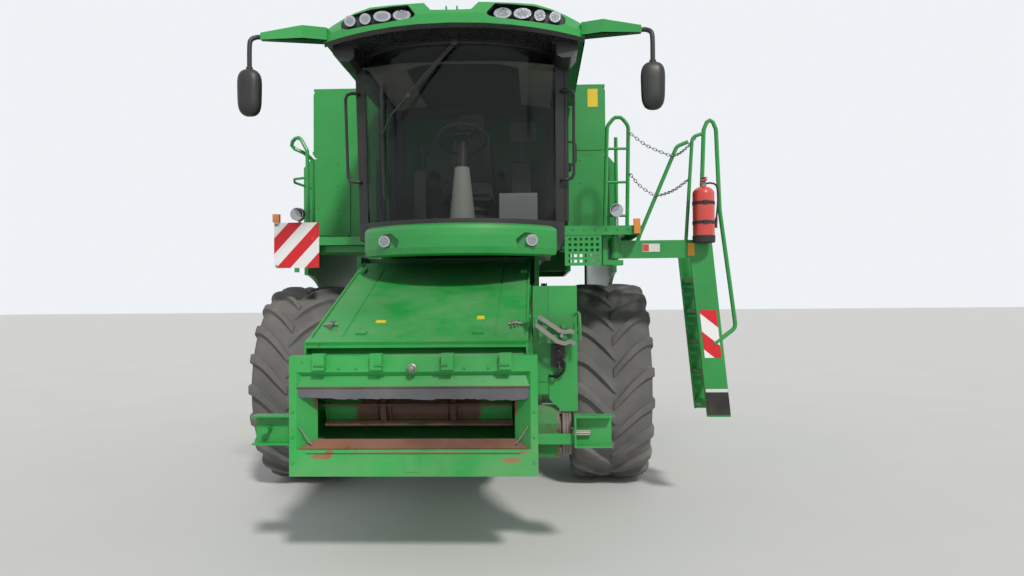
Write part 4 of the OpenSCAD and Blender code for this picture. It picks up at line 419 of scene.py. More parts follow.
class Stock:
    # Gathers shapes into one mesh. Each shape returns the stock, so that calls can follow on
    def __init__(self):
        self.points, self.faces = [], []

    def add(self, points, faces):
        base = len(self.points)
        self.points += [Vector(p) for p in points]
        self.faces += [tuple(base + i for i in f) for f in faces]
        return self

    def grid(self, rows, close_rows=False, close_ring=True, caps=False):
        n, m = len(rows), len(rows[0])
        faces = [(j * m + i, j * m + (i + 1) % m, ((j + 1) % n) * m + (i + 1) % m, ((j + 1) % n) * m + i)
                 for j in range(n if close_rows else n - 1) for i in range(m if close_ring else m - 1)]
        if caps:
            faces += [tuple(range(m)), tuple(reversed(range((n - 1) * m, n * m)))]
        return self.add([p for row in rows for p in row], faces)

    def tube(self, path, radius, sides=12, squeeze=1.0):
        # A round bar along a path, with its section turned as little as possible
        path = [Vector(p) for p in path]
        side = (path[1] - path[0]).orthogonal().normalized()
        rows = []
        for k, p in enumerate(path):
            run = (path[min(k + 1, len(path) - 1)] - path[max(k - 1, 0)]).normalized()
            side = (side - run * side.dot(run)).normalized()
            up = run.cross(side)
            rows.append([p + (side * math.cos(a) * squeeze + up * math.sin(a)) * radius for a in turns(sides)])
        return self.grid(rows, caps=True)

    def turned(self, profile, centre, axis, sides=24):
        # A profile of (along, radius) turned about an axis
        axis = Vector(axis).normalized()
        a = axis.orthogonal().normalized() if abs(axis.z) > 0.9 else axis.cross(Vector((0, 0, 1))).normalized()
        b = axis.cross(a)
        return self.grid([[centre + axis * h + (a * math.cos(turn) + b * math.sin(turn)) * r for turn in turns(sides)]
                          for h, r in profile], caps=True)

    def plate(self, corners, thickness, corner=0.0, steps=3):
        # A flat plate between corner points, with rounded corners and a real thickness
        corners = [Vector(c) for c in corners]
        outline = [] if corner > 0 else corners
        for i, c in enumerate(corners if corner > 0 else []):
            before, after = corners[i - 1] - c, corners[(i + 1) % len(corners)] - c
            p, q = c + before.normalized() * corner, c + after.normalized() * corner
            for k in range(steps + 1):
                t = k / steps
                outline.append(p * (1 - t) ** 2 + c * 2 * t * (1 - t) + q * t ** 2)
        normal = (corners[1] - corners[0]).cross(corners[2] - corners[1]).normalized()
        middle = sum(outline, Vector()) / len(outline)
        edge = min(0.3 * thickness, 0.002)
        return self.grid([outline, [p + normal * (thickness - edge) for p in outline],
                          [p + normal * thickness + (middle - p).normalized() * edge for p in outline]], caps=True)

    def make(self, name, coat, body="chassis", smooth=40, slot=None):
        mesh = bpy.data.meshes.new(name)
        mesh.from_pydata([tuple(p) for p in self.points], [], self.faces)
        work = bmesh.new()
        work.from_mesh(mesh)
        bmesh.ops.recalc_face_normals(work, faces=work.faces)
        work.to_mesh(mesh)
        work.free()
        mesh.materials.append(finish[coat])
        mesh.shade_smooth()
        mesh.set_sharp_from_angle(angle=math.radians(smooth))
        thing = show(name, mesh)
        if body:
            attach(thing, body)
        return thing

def between(a, b, c, d, t):
    # The share t of a smooth curve from b to c, which comes from a and goes on to d
    return 0.5 * (2 * b + (c - a) * t + (2 * a - 5 * b + 4 * c - d) * t ** 2 + (3 * b - a - 3 * c + d) * t ** 3)

def smooth_path(points, steps=6):
    # A curve through the points, as a bent pipe follows its bends
    points = [Vector(p) for p in points]
    full = [points[0] * 2 - points[1]] + points + [points[-1] * 2 - points[-2]]
    curve = [between(*four, k / steps) for four in zip(full, full[1:], full[2:], full[3:]) for k in range(steps)]
    return curve + [points[-1]]

def touch(solid, start, toward):
    hit, place, normal, _ = nodes[solid].ray_cast(Vector(start), Vector(toward).normalized())
    if not hit:
        raise ValueError("nothing of " + solid + " at " + str(tuple(start)))
    return place, normal

def front_of(solid, x, z, start):
    # Where a line from the front, beginning at this y, meets the solid
    return touch(solid, at(x, start, z), (0, 1, 0))[0]

print("tools ready")

# %% [markdown]
# ## Tyres
# A tractor tyre is a smooth, dusty carcass with heavy rubber lugs that start near the middle
# and sweep out and back to the shoulder, where they fade into the sidewall. The lugs of the
# two halves stand half a pitch apart. Each lug is a bar with its own section, swept over the
# carcass, so its foot follows the crown and its top stays level. Its path is steep near the
# middle and flattens towards the shoulder, as on the real tread.

# %% The carcass and one lug
def carcass(u, half, radius, seat, depth):
    # The section from the middle of the crown (0) round the shoulder to the bead (1)
    crown, section = radius - depth, radius - seat
    line = [(0, crown), (0.30, crown), (0.55, crown - 0.003), (0.76, crown - 0.010), (0.89, crown - 0.024),
            (0.955, crown - 0.050), (0.978, crown - 0.095)]
    line += [(across, seat + section * share) for across, share in (
        (0.982, 0.60), (0.970, 0.46), (0.955, 0.33), (0.915, 0.20), (0.865, 0.10), (0.835, 0.055), (0.825, 0.03))]
    line += [(1 - 0.066 / half, seat + 0.001)]
    k = min(max(u, 0.0), 1.0) * (len(line) - 1)
    i = min(int(k), len(line) - 2)
    around = (line[max(i - 1, 0)], line[i], line[i + 1], line[min(i + 2, len(line) - 1)])
    x, r = [between(*four, k - i) for four in zip(*around)]
    return x * half, r

# Across a lug: (share of the width at its foot, share of its height)
LUG_SECTION = [(-0.5, -0.14), (-0.5, 0.0), (-0.44, 0.10), (-0.36, 0.55), (-0.325, 0.90), (-0.29, 0.985), (-0.1, 1.0),
               (0.12, 1.0), (0.30, 0.985), (0.335, 0.90), (0.37, 0.55), (0.44, 0.10), (0.5, 0.0), (0.5, -0.14)]
LUG_STATIONS = 22

def tyre(name, node, centre, radius, width, seat, depth, lugs, lead, body):
    half, around, pitch = width / 2, turns(lugs * 8), 2 * math.pi / lugs
    def spot(x, r, turn):
        return centre + Vector((x, -r * math.cos(turn), r * math.sin(turn)))
    stock = Stock()
    line = [carcass(k / 34, half, radius, seat, depth) for k in range(35)]
    section = [(-x, r) for x, r in reversed(line)] + line[1:]
    bead = line[-1][0] - 0.03
    section += [(bead, seat + 0.012), (0.55 * half, seat + 0.03), (-0.55 * half, seat + 0.03), (-bead, seat + 0.012)]
    stock.grid([[spot(x, r, turn) for x, r in section] for turn in around], close_rows=True)
    for side, lug in [(side, lug) for side in (-1, 1) for lug in range(lugs)]:
        rows = []
        for s in range(LUG_STATIONS + 1):
            t = s / LUG_STATIONS
            u = -0.012 + 0.50 * t
            x, r = carcass(u, half, radius, seat, depth)
            x2, r2 = carcass(u + 0.01, half, radius, seat, depth)
            along = Vector((x2 - x, r2 - r)).normalized() if u >= 0 else Vector((1, 0))
            if u < 0:
                # The lug's root reaches a little over the middle
                x = u * half * 2.2
            share = min(1.0, max(0.0, x / (0.93 * half)))
            turn = (lug + (0.5 if side > 0 else 0.0)) * pitch + lead * (1 - (1 - share) ** 1.38)
            # The bar runs slanting, so its width is set across its own run
            wide = (0.088 + 0.026 * share) * (radius / 0.965) * (1.16 - 0.16 * share)
            if t < 0.16:
                height = depth * min(1.0, 0.30 + 4.5 * t)
            else:
                height = depth * (1.0 if t < 0.58 else max(0.0, 1.0 - ((t - 0.58) / 0.42) ** 0.8))
            top = radius - 0.010 * share - (0.030 * (share - 0.8) / 0.2 if share > 0.8 else 0)
            row = []
            for w, h in LUG_SECTION:
                rise = height * max(h, 0)
                foot = r + along.x * rise + (-0.006 if h < 0 else 0)
                row.append(spot(side * (x - along.y * rise), min(foot, top), turn + w * wide / max(r, 0.1)))
            rows.append(row)
        stock.grid(rows, close_ring=False, caps=True)
    # Raised rings on the sidewalls: the place along the section, and the height
    rings = ((0.60, 0.004), (0.80, 0.006), (0.86, 0.006))
    for side, (u, tall) in [(side, ring) for side in (-1, 1) for ring in rings]:
        x, r = carcass(u, half, radius, seat, depth)
        bead_line = ((-0.004, 0.006), (tall * 0.7, 0.004), (tall, 0), (tall * 0.7, -0.004), (-0.004, -0.006))
        stock.grid([[spot(side * (x + dx), r + dr, turn) for dx, dr in bead_line] for turn in around],
                   close_rows=True, close_ring=False)
    made = stock.make(name, "tyre rubber", body, 34)
    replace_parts(made, node)
    return made

print("tyre tools ready")

# %% Four tyres
# For each axle: the wheel's middle in millimetres, then the tyre's width, bead seat and lug
# depth in metres, the number of lugs a side and their lead in degrees
WHEELS = {"front": ((1475, 0, 965), 0.71, 0.407, 0.046, 20, 18.5),
          "rear": ((1550, 3730, 750), 0.54, 0.357, 0.036, 17, 20)}

for side, hand in SIDES:
    for axle, ((x, y, z), width, seat, depth, lugs, lead) in WHEELS.items():
        made = tyre(axle + "_tyre_tread_" + hand, "tyre_" + axle + "_" + hand, at(side * x, y, z), z / 1000, width, seat,
                    depth, lugs, math.radians(lead), "wheel_" + axle + "_" + hand)
        print(made.name, len(made.data.polygons))

# %% [markdown]
# ## Nuts and bolts
# Bolted joints tell the eye how a machine goes together. A hexagon head is a six-sided turned
# profile with a washer under it. All the heads of one assembly share a mesh, because hundreds
# of separate objects would slow the file down for nothing.

# %% Bolt heads
def bolt(stock, place, normal, across=0.024):
    washer = [(-0.001, across * 0.62), (0.0025, across * 0.62), (0.0025, across * 0.5)]
    head = [(0.002, across * 0.5), (across * 0.48, across * 0.5), (across * 0.58, across * 0.42)]
    stock.turned(washer, place, normal, 20).turned(head, place, normal, 6)

for side, hand in SIDES:
    for axle, ring, count, size in (("front", 0.135, 12, 0.034), ("rear", 0.100, 8, 0.030)):
        x, y, z = WHEELS[axle][0]
        stock = Stock()
        for k in range(count):
            turn = 2 * math.pi * (k + 0.5) / count
            away = Vector((0, math.cos(turn), math.sin(turn))) * ring + Vector((side * 1.2, 0, 0))
            place = touch("rim_" + axle + "_" + hand, at(side * x, y, z) + away, (-side, 0, 0))[0]
            bolt(stock, place, (side, 0, 0), size)
        stock.make("wheel_nuts_" + axle + "_" + hand, "worn steel", "wheel_" + axle + "_" + hand, 30)
print("wheel nuts done")

# %% [markdown]
# ## The operator's seat
# A suspension seat has a deep base cushion, a tall backrest and a small head pad. Foam under
# cloth bulges between its edges, so each cushion starts as a slightly small shape, is
# remeshed evenly and swells with Blender's cloth pressure.

# %% Cushions
def rounded_box(name, low, high, curve, taper=0.0):
    # A box with full, soft edges; curve bends it backwards along its height
    mesh = bpy.data.meshes.new(name)
    work = bmesh.new()
    bmesh.ops.create_cube(work, size=1)
    for v in work.verts:
        v.co = Vector([low[i] + (v.co[i] + 0.5) * (high[i] - low[i]) for i in range(3)])
    bmesh.ops.bevel(work, geom=list(work.edges), offset=min(high - low) * 0.30, segments=3, profile=0.6, affect="EDGES")
    bmesh.ops.subdivide_edges(work, edges=list(work.edges), cuts=1, use_grid_fill=True)
    middle = (low + high) / 2
    for v in work.verts:
        share = (v.co.z - low.z) / (high.z - low.z)
        v.co.x = middle.x + (v.co.x - middle.x) * (1 - taper * share)
        v.co.y += curve * (share - 0.35) ** 2
    work.to_mesh(mesh)
    work.free()
    return show(name, mesh)

def baked(thing):
    # The mesh as its modifiers leave it
    return bpy.data.meshes.new_from_object(thing.evaluated_get(bpy.context.evaluated_depsgraph_get()))

def swell(thing, cap, voxel=0.009, pressure=3.5):
    # Remesh, press the cloth outwards, keep each point within the cap, then round it off
    remesh = thing.modifiers.new("even", "REMESH")
    remesh.mode = "VOXEL"
    remesh.voxel_size = voxel
    even = baked(thing)
    thing.modifiers.clear()
    thing.data = even
    start = [v.co.copy() for v in even.vertices]
    press = thing.modifiers.new("press", "CLOTH").settings
    press.use_pressure = True
    press.uniform_pressure_force = pressure
    press.effector_weights.gravity = 0
    press.quality = 4
    for k in range(1, 21):
        scene.frame_set(k)
    pressed = baked(thing)
    thing.modifiers.clear()
    for v, s in zip(pressed.vertices, start):
        move = v.co - s
        if move.length > cap:
            v.co = s + move.normalized() * cap
    thing.data = pressed
    scene.frame_set(1)
    thing.modifiers.new("soft", "SUBSURF").render_levels = 1

for name, low, high, curve, taper, cap in (
        ("seat_cushion", (-235, -1065, 388), (235, -560, 492), 0, 0.04, 0.016),
        ("back_cushion", (-215, -625, 480), (215, -525, 1070), 0.10, 0.18, 0.018),
        ("head_cushion", (-120, -600, 1095), (120, -540, 1218), 0.05, 0.1, 0.010)):
    pad = rounded_box(name, cab(*low), cab(*high), curve, taper)
    swell(pad, cap)
    pad.data.materials.clear()
    pad.data.materials.append(finish["seat cloth"])
    pad.data.shade_smooth()
    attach(pad, "chassis")
    print(name, len(pad.data.vertices))

# %% [markdown]
# The frame of the seat is hard: a steel base with a rubber bellows over its suspension, side
# plates and armrests. It replaces the plain solid together with the cushions above. The
# bellows is a turned profile with four folds, because that is how the real one is moulded.

# %% Seat frame and armrests
hard = Stock().plate(quad(-225, 225, (-1020, 352), (-580, 352), 0, cab), 0.034, 0.05)
hard.plate(quad(-200, 200, (-516, 470), (-512, 1060), 30, cab), 0.022, 0.05)
for x in (-245, 245):
    hard.plate([cab(x, -600, 370), cab(x, -530, 370), cab(x * 0.97, -505, 640), cab(x * 0.97, -600, 640)], 0.012, 0.02)
for x in (-60, 60):
    hard.tube([cab(x, -560, 1050), cab(x, -560, 1130)], 0.008)
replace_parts(hard.make("seat_frame", "fitting black", smooth=30), "operator_seat")

folds = [(0.0, 0.19)]
for k in range(4):
    folds += [(0.03 + k * 0.08, 0.205), (0.07 + k * 0.08, 0.165)]
Stock().turned(folds + [(0.352, 0.20)], cab(0, -800, 0), (0, 0, 1), 40).make("seat_bellows", "rubber", smooth=60)

arms = Stock()
for x in (-300, 300):
    rows = []
    for t in [s / 12 for s in range(13)]:
        full = math.sin(math.pi * min(max(t, 0.03), 0.97)) ** 0.35
        rows.append([cab(x + 31 * full * math.cos(a), -980 + 410 * t, 612.5 + 27.5 * full * math.sin(a))
                     for a in turns(16)])
    arms.grid(rows, caps=True)
arms.make("seat_armrests", "rubber", smooth=60, slot="black_plastic")
print("seat done")

# %% [markdown]
# ## Inside the cab
# Through the tinted screen one sees the steering column's pale cover and a cool box, which are
# CAD solids. The console with its hand lever at the driver's right and the light headliner
# are added here. They are quiet shapes, but without them the cab looks empty.

# %% Console with its hand lever, and headliner
console = Stock().plate(quad(-420, -300, (-1180, 560), (-620, 600), 0, cab), 0.05, 0.03)
console.plate(quad(-410, -310, (-1100, 60), (-1100, 545), 0, cab), 0.30, 0.02)
console.tube(smooth_path([cab(-360, -1120, 600), cab(-362, -1150, 680), cab(-352, -1165, 740)]), 0.016)
knob = [(0, 0.018), (0.02, 0.036), (0.06, 0.040), (0.085, 0.030), (0.095, 0.01)]
console.turned(knob, cab(-352, -1165, 725), (0.1, -0.3, 1), 20).make("driver_console", "fitting black")

rows = []
for i in range(13):
    drop = 70 * (1 - i / 3) ** 2 if i < 3 else 0
    rows.append([cab(x, -1780 + 1550 * i / 12, 1412 - 46 * (abs(x) / 760) ** 3 - drop) for x in range(-760, 761, 76)])
lining = Stock().grid([[p + Vector((0, 0, 0.006)) for p in r] for r in rows], close_ring=False)
lining.grid(rows, close_ring=False).make("headliner_panel", "headliner", smooth=60)
print("cab inside done")

# %% [markdown]
# ## Lamps
# A work lamp is a black housing, a bright bowl behind the glass and a clear, slightly ribbed
# lens. The bowl is what makes a lamp look like a lamp, since it throws back small, sharp
# pictures of the sky. Here the bowl is a turned profile squeezed to an oval where needed.

# %% Lamps in the roof, the apron and on the platforms
housings, bowls, lenses = Stock(), Stock(), Stock()

def lamp(centre, facing, wide, tall, deep):
    facing = Vector(facing).normalized()
    side = facing.cross(Vector((0, 0, 1))).normalized()
    up = side.cross(facing)
    def ovals(*profile):
        # Each oval has its share of the lamp's size and its place along the lamp's axis
        return [[centre + side * math.cos(a) * (wide * share) + up * math.sin(a) * (tall * share) + facing * along
                 for a in turns(40)] for share, along in profile]
    housings.grid(ovals((0.30, -deep), (0.72, -deep * 0.92), (0.93, -deep * 0.55), (1.0, -deep * 0.15), (1.0, 0.0),
                        (0.97, 0.004), (0.90, 0.004), (0.89, -0.004), (0.70, -deep * 0.6), (0.2, -deep * 0.85)),
                  caps=True)
    bowls.grid(ovals((0.885, -0.005), (0.80, -deep * 0.30), (0.60, -deep * 0.58), (0.34, -deep * 0.76),
                     (0.15, -deep * 0.80)), caps=True)
    bowls.grid(ovals((0.26, -deep * 0.45), (0.24, -deep * 0.32), (0.14, -deep * 0.25), (0.03, -deep * 0.24)), caps=True)
    lenses.grid(ovals((0.90, -0.003), (0.90, 0.002), (0.70, 0.007), (0.40, 0.010), (0.10, 0.011)), caps=True)

# A roof lamp's place across and up, then half its width and height in metres
ROOF_LAMPS = ((374, 158, 0.065, 0.039), (520, 152, 0.065, 0.039), (648, 135, 0.041, 0.041), (762, 122, 0.041, 0.041))
# A platform lamp's place across and along, then where it faces
WORK_LAMPS = ((-1420, -790, (-0.40, -0.85, -0.34)), (1520, -800, (0.22, -0.92, -0.30)))
for side in (-1, 1):
    for x, z, wide, tall in ROOF_LAMPS:
        lamp(at(CAB_X + side * x, -2138, ROOF_Z + z), (0, -1, 0), wide, tall, 0.055)
    lamp(at(CAB_X + side * 575, -1835, 2225), (0, -1, 0), 0.044, 0.044, 0.036)
for x, y, facing in WORK_LAMPS:
    lamp(at(x, y, 2575), facing, 0.055, 0.055, 0.07)
for x, y, facing in WORK_LAMPS:
    # The bracket that holds the lamp
    housings.tube([at(x, y + 61, 2575), at(x, y + 74, 2540), at(x, y + 74, 2505)], 0.012)

# The roof's lamp recesses are lined with black. The liner ends 3 mm behind the roof's skin,
# which is measured 14 mm outside the recess's outline
RECESS = [(252, 118), (300, 102), (380, 92), (470, 84), (620, 75), (780, 66), (832, 80), (838, 128), (788, 169),
          (700, 185), (600, 200), (460, 206), (322, 209)]
for side in (-1, 1):
    deep_row, front_row = [], []
    for x, z in RECESS:
        out_x, out_z = x - 545, z - 140
        k = 14 / math.hypot(out_x, out_z)
        skin = y_of(front_of("cab_roof", CAB_X + side * (x + out_x * k), ROOF_Z + z + out_z * k, -4000))
        deep_row.append(at(CAB_X + side * x, -2086.5, ROOF_Z + z))
        front_row.append(at(CAB_X + side * x, min(skin + 3, -2092), ROOF_Z + z))
    housings.grid([deep_row, front_row]).add(deep_row, [tuple(range(len(deep_row)))])
housings.make("lamp_housings", "fitting black")
bowls.make("lamp_bowls", "reflector", smooth=60)
lenses.make("lamp_glasses", "lamp glass", smooth=60)
print("lamps done")

# %% [markdown]
# ## Wiper
# The windscreen's wiper hangs from the roof. Two parallel arms carry an upright blade, which
# is parked near the screen's left edge as seen from the front. The arms are thin bars, the
# blade is a rubber strip under a holder, and both follow the curved, leaning glass. A line
# sent at the glass gives the place of each point.

# %% The parked wiper
def on_screen(x, z, off):
    place, normal = touch("cab_glass", at(x, -6000, z), (0, 1, 0))
    return place + (-normal if normal.y > 0 else normal) * off

wiper = Stock()
pivot = at(185, -2040, 3700)
knee = on_screen(-155, 3330, 0.075)
hub = on_screen(-395, 3060, 0.045)
for shift in (-0.022, 0.022):
    s = Vector((shift, 0, shift * 0.6))
    wiper.tube([pivot + s, (pivot + knee) / 2 + s + Vector((0, -0.015, 0)), knee + s], 0.008, 8)
wiper.tube([knee, (knee + hub) / 2 + Vector((-0.02, -0.02, 0.01)), hub], 0.009, 8)
wiper.turned([(-0.02, 0.03), (0.03, 0.03), (0.035, 0.02)], pivot, (0, -1, 0.1), 20)
wiper.turned([(-0.015, 0.018), (0.015, 0.018)], knee, (0, 1, 0), 16)
blade = [on_screen(-400 - 6 * math.sin(k / 11 * math.pi), 3460 - 880 * k / 11, 0.030) for k in range(12)]
squeegee = [on_screen(-400 - 6 * math.sin(k / 23 * math.pi), 3470 - 900 * k / 23, 0.014) for k in range(24)]
wiper.tube(blade, 0.007, 8).tube(squeegee, 0.012, 6, 0.35)
for k in (1, 4, 7, 10):
    foot = squeegee[k * 2 + 1]
    wiper.tube([blade[k], (blade[k] + foot) / 2, foot], 0.006, 6)
wiper.make("windscreen_wiper", "fitting black")
print("wiper done")

# %% [markdown]
# ## Mirrors
# Each mirror is a smooth black shell that bulges to the front and is flat at the back, where
# its bright face sits. A box with bevelled edges would show flat sides, so the shell is built
# from rounded rings that shrink towards the top and the bottom. A bent tube hangs it from the
# arm beside the roof.

# %% Mirror shells, tubes and faces
def mirror(side, hand):
    x = CAB_X + side * 1440
    rows = []
    for k in range(29):
        t = math.sin((-1 + 2 * k / 28) * math.pi / 2)
        full = max((1 - abs(t) ** 4.5) ** 0.42 if abs(t) < 1 else 0.0, 0.06)
        row = []
        for a in turns(32):
            c, s = math.cos(a), math.sin(a)
            wide = 84 * full * (1.0 + 0.05 * t) * math.copysign(abs(c) ** 0.72, c)
            deep = 62 * full * math.copysign(abs(s) ** 0.80, s)
            row.append(at(x + wide, -2338 + (min(deep, 38) if deep > 0 else deep * 0.95), 3262 + 170 * t))
        rows.append(row)
    shell = Stock().grid(rows, caps=True)
    shell.tube(smooth_path([at(CAB_X + side * 1362, -2308, 3674), at(CAB_X + side * 1400, -2312, 3672),
                            at(CAB_X + side * 1430, -2330, 3650), at(x, -2338, 3600), at(x, -2340, 3420)]), 0.017, 16)
    shell.turned([(0, 0.024), (0.02, 0.024), (0.024, 0.018)], at(x, -2340, 3424), (0, 0, 1), 20)
    face = Stock().plate(quad(x - 62, x + 62, (-2299, 3118), (-2299, 3404))[::-1], 0.003, 0.035, 5)
    face.make("mirror_face_" + hand, "mirror face", smooth=30)
    return shell.make("mirror_" + hand, "fitting black", smooth=50)

mirrors = [mirror(side, hand) for side, hand in SIDES]
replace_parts(mirrors[0], "mirrors")
print("mirrors done")

# %% [markdown]
# ## Safety chains
# Two light chains close the gap between the platform's hoop and the swinging ladder. A link
# is an oval ring of round bar, and every second link is turned a quarter. Each chain hangs
# round the outside of the leaning rail, which also keeps it clear of the cab's door. It crosses
# the ladder's hinge, but it is one fixed piece that follows neither the platform nor the ladder.

# %% Chains that close the platform
LINK, WIRE = 0.032, 0.0032

def chain(name, start, rail, end):
    def hung(a, b, share, sag):
        return a.lerp(b, share) - Vector((0, 0, sag))
    path = smooth_path([start, hung(start, rail, 0.35, 0.035), hung(start, rail, 0.72, 0.028), rail,
                        hung(rail, end, 0.5, 0.028), end], 40)
    lengths = [0.0]
    for a, b in zip(path, path[1:]):
        lengths.append(lengths[-1] + (b - a).length)
    count = int(lengths[-1] / LINK)
    stock = Stock()
    for n in range(count + 1):
        want = min(lengths[-1], n * lengths[-1] / count)
        k = min(max(i for i, l in enumerate(lengths) if l <= want + 1e-9), len(path) - 2)
        place, run = path[k], (path[k + 1] - path[k]).normalized()
        side = run.cross(Vector((0, 0, 1))).normalized()
        if n % 2:
            side = run.cross(side)
        over = run.cross(side)
        ring = []
        for a in turns(14):
            middle = place + run * math.cos(a) * LINK * 0.68 + side * math.sin(a) * LINK * 0.36
            away = (run * math.cos(a) * 0.6 + side * math.sin(a)).normalized()
            ring.append([middle + away * WIRE * math.cos(b) + over * WIRE * math.sin(b) for b in turns(6)])
        stock.grid(ring, close_rows=True)
    made = stock.make(name, "worn steel", None, 60)
    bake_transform(made)
    print(name, round(lengths[-1], 3), "m")

chain("safety_chain_upper", at(1652, -722, 3300), at(2036, -833, 3060), at(2146, -1303, 3134))
chain("safety_chain_lower", at(1648, -722, 2925), at(1880, -833, 2700), at(2076, -1303, 2768))

# %% [markdown]
# ## On the ladder
# The ladder carries a striped plate, a pale strip and a rubber foot on its front rail, blank
# labels on its landing, and the fire extinguisher with its straps, valve and short hose. The
# plates follow the rail's slant, so their corners are worked out from the rail's own edges.

# %% Ladder's plates and foot
LADDER_FRONT = -1331

def rail_plate(name, z_low, z_high, coat, thick, inset):
    corners = []
    for z, sides in ((z_low, (inset, 190 - inset)), (z_high, (190 - inset, inset))):
        # The rail's left edge at this height, from the landing's end down to the foot
        edge = 2060 + (2200 - 2060) * (2255 - z) / (2255 - 780)
        corners += [at(edge + x, LADDER_FRONT, z) for x in sides]
    Stock().plate(corners, thick, 0.004).make(name, coat, "ladder", 30)

rail_plate("ladder_striped_plate", 1270, 1668, "ladder stripes", 0.002, 26)
rail_plate("ladder_pale_strip", 985, 1012, "label white", 0.003, 4)
rail_plate("ladder_rubber_foot", 800, 984, "rubber", 0.010, 2)
for name, left, right, low, high, y, thick, coat in (
        ("landing_label", 1675, 1819, 2158, 2226, LADDER_FRONT, 0.0012, "label white"),
        ("landing_label_red", 1678, 1728, 2162, 2222, LADDER_FRONT - 1.3, 0.0006, "extinguisher red"),
        ("landing_label_orange", 2052, 2106, 2122, 2228, LADDER_FRONT, 0.0012, "label orange")):
    Stock().plate(quad(left, right, (y, low), (y, high)), thick).make(name, coat, "ladder", 30)
print("ladder plates done")

# %% Fire extinguisher fittings
def can(z, x=0.0, y=0.0):
    # A place at the height z in millimetres, with x and y in metres from the bottle's axis
    return at(2163, -1431, 0) + Vector((0, 0, z / 1000)) + Vector((x, y, 0))

straps = Stock()
for z in (2385, 2545):
    # A strap round the bottle and the buckle on its front
    hoop = ((-13, 0.088), (-13, 0.0915), (13, 0.0915), (13, 0.088))
    buckle = ((-0.02, -16), (0.02, -16), (0.02, 16), (-0.02, 16))
    straps.grid([[can(z + dz, math.cos(a) * r, math.sin(a) * r) for a in turns(48)] for dz, r in hoop])
    straps.plate([can(z + dz, dx, -0.0915) for dx, dz in buckle], 0.006, 0.003)
straps.turned([(-0.004, 0.080), (0.0, 0.0905), (0.052, 0.0925), (0.055, 0.089)], can(2225), (0, 0, 1), 48)
straps.make("extinguisher_straps", "rubber", "ladder")
valve = Stock().turned([(0, 0.026), (0.03, 0.026), (0.034, 0.019), (0.055, 0.019), (0.058, 0.010)], can(2687), (0, 0, 1))
valve.turned([(0, 0.014), (0.018, 0.014), (0.020, 0.011)], can(2712, 0.0, -0.012), (0, -1, 0), 20)
grip = ((-0.018, -0.075), (0.018, -0.075), (0.018, 0.02), (-0.018, 0.02))
valve.plate([can(2748, x, y) for x, y in grip], 0.004, 0.004)
valve.make("extinguisher_valve", "worn steel", "ladder")

hose_points = smooth_path([can(2706, 0.015, 0), can(2712, 0.06, -0.004), can(2690, 0.105, -0.008),
                           can(2610, 0.118, -0.008), can(2500, 0.112, -0.004), can(2420, 0.104, 0)], 5)
nozzle = Stock().turned([(-0.01, 0.009), (0.0, 0.011), (0.05, 0.013), (0.075, 0.017), (0.077, 0.013)],
                        hose_points[-1], hose_points[-1] - hose_points[-2], 20)
nozzle_piece = nozzle.make("extinguisher_nozzle", "fitting black", "ladder")
hose_piece = Stock().tube(hose_points, 0.0075, 14).make("extinguisher_hose", "rubber", "ladder", 60)

# %% [markdown]
# ## The feeder's mouth
# The front face takes the hardest wear of the whole machine, because a header is hooked on and
# off there. A leaning sheet closes the top of the mouth and a torn rubber flap hangs from its
# rusty edge. The bare, brown floor shows below the drum, and a steel pin stands in the middle
# of the upper beam. A narrow sheet closes the step between the beam and the cover.

# %% Sheets, flap and floor at the mouth
sheets = Stock().plate(quad(-741, 741, (-2897, 1210), (-2860, 1299), 33)[::-1], 0.004)
sheets.plate(quad(-733, 733, (-2736, 1395), (-2690, 1492)), 0.004)
for x in (-579, -193, 193, 579):
    y = y_of(front_of("feeder_face", x, 1378, -3400))
    sheets.plate(quad(x - 38, x + 38, (y, 1352), (y, 1358)), 0.012)
sheets.make("mouth_sheets", "machine green", "feeder", 30)
rust_edge = Stock().plate(quad(-741, 741, (-2899.5, 1207), (-2898, 1217), 2)[::-1], 0.003)
rust_edge.make("mouth_sheet_edge", "rusty steel", "feeder", 30)

rows = []
dice = random.Random(11)
for k in range(61):
    x = -733 + 1466 * k / 60
    ragged = 1143 + 4 * math.sin(k * 0.33) - 14 * (k / 60) + dice.uniform(-4, 4) + (18 if k in (0, 60) else 0)
    wave = 5 * math.sin(k * 0.52) + 3 * math.sin(k * 1.3)
    front_side = [at(x, -2893, 1216), at(x, -2893 + wave * 0.4, 1185), at(x, -2892 + wave, ragged)]
    rows.append(front_side + [p + Vector((0, 0.006, 0)) for p in reversed(front_side)])
Stock().grid(rows, caps=True).make("mouth_flap", "curtain rubber", "feeder", 50)
floor_wear = Stock().plate(quad(-736, 736, (-2896, 823), (-2794, 866), 92), 0.003)
floor_wear.make("mouth_floor_wear", "floor rust", "feeder", 30)
print("mouth done")

# %% Pin, stays, screws, labels and catches
pin = Stock().turned([(-0.004, 0.030), (0.006, 0.030), (0.010, 0.022), (0.026, 0.021), (0.034, 0.016), (0.036, 0.008)],
                     front_of("feeder_face", 0, 1333, -3400), (0, -1, 0), 28)
for side in (-1, 1):
    # Thin stays across the lower corners of the mouth
    pin.tube([at(side * 728, -2894, 965), at(side * 690, -2888, 905), at(side * 650, -2878, 850)], 0.005, 8)
pin.make("face_pin", "worn steel", "feeder")

screws = Stock()
places = [(x, 1336) for x in (-470, -360, 330, 480)] + [(side * 768, z) for side in (-1, 1) for z in (740, 900, 1060)]
for x, z in places:
    bolt(screws, front_of("feeder_face", x, z, -3400), (0, -1, 0), 0.018)
screws.make("feeder_screws", "face green", "feeder", 30)

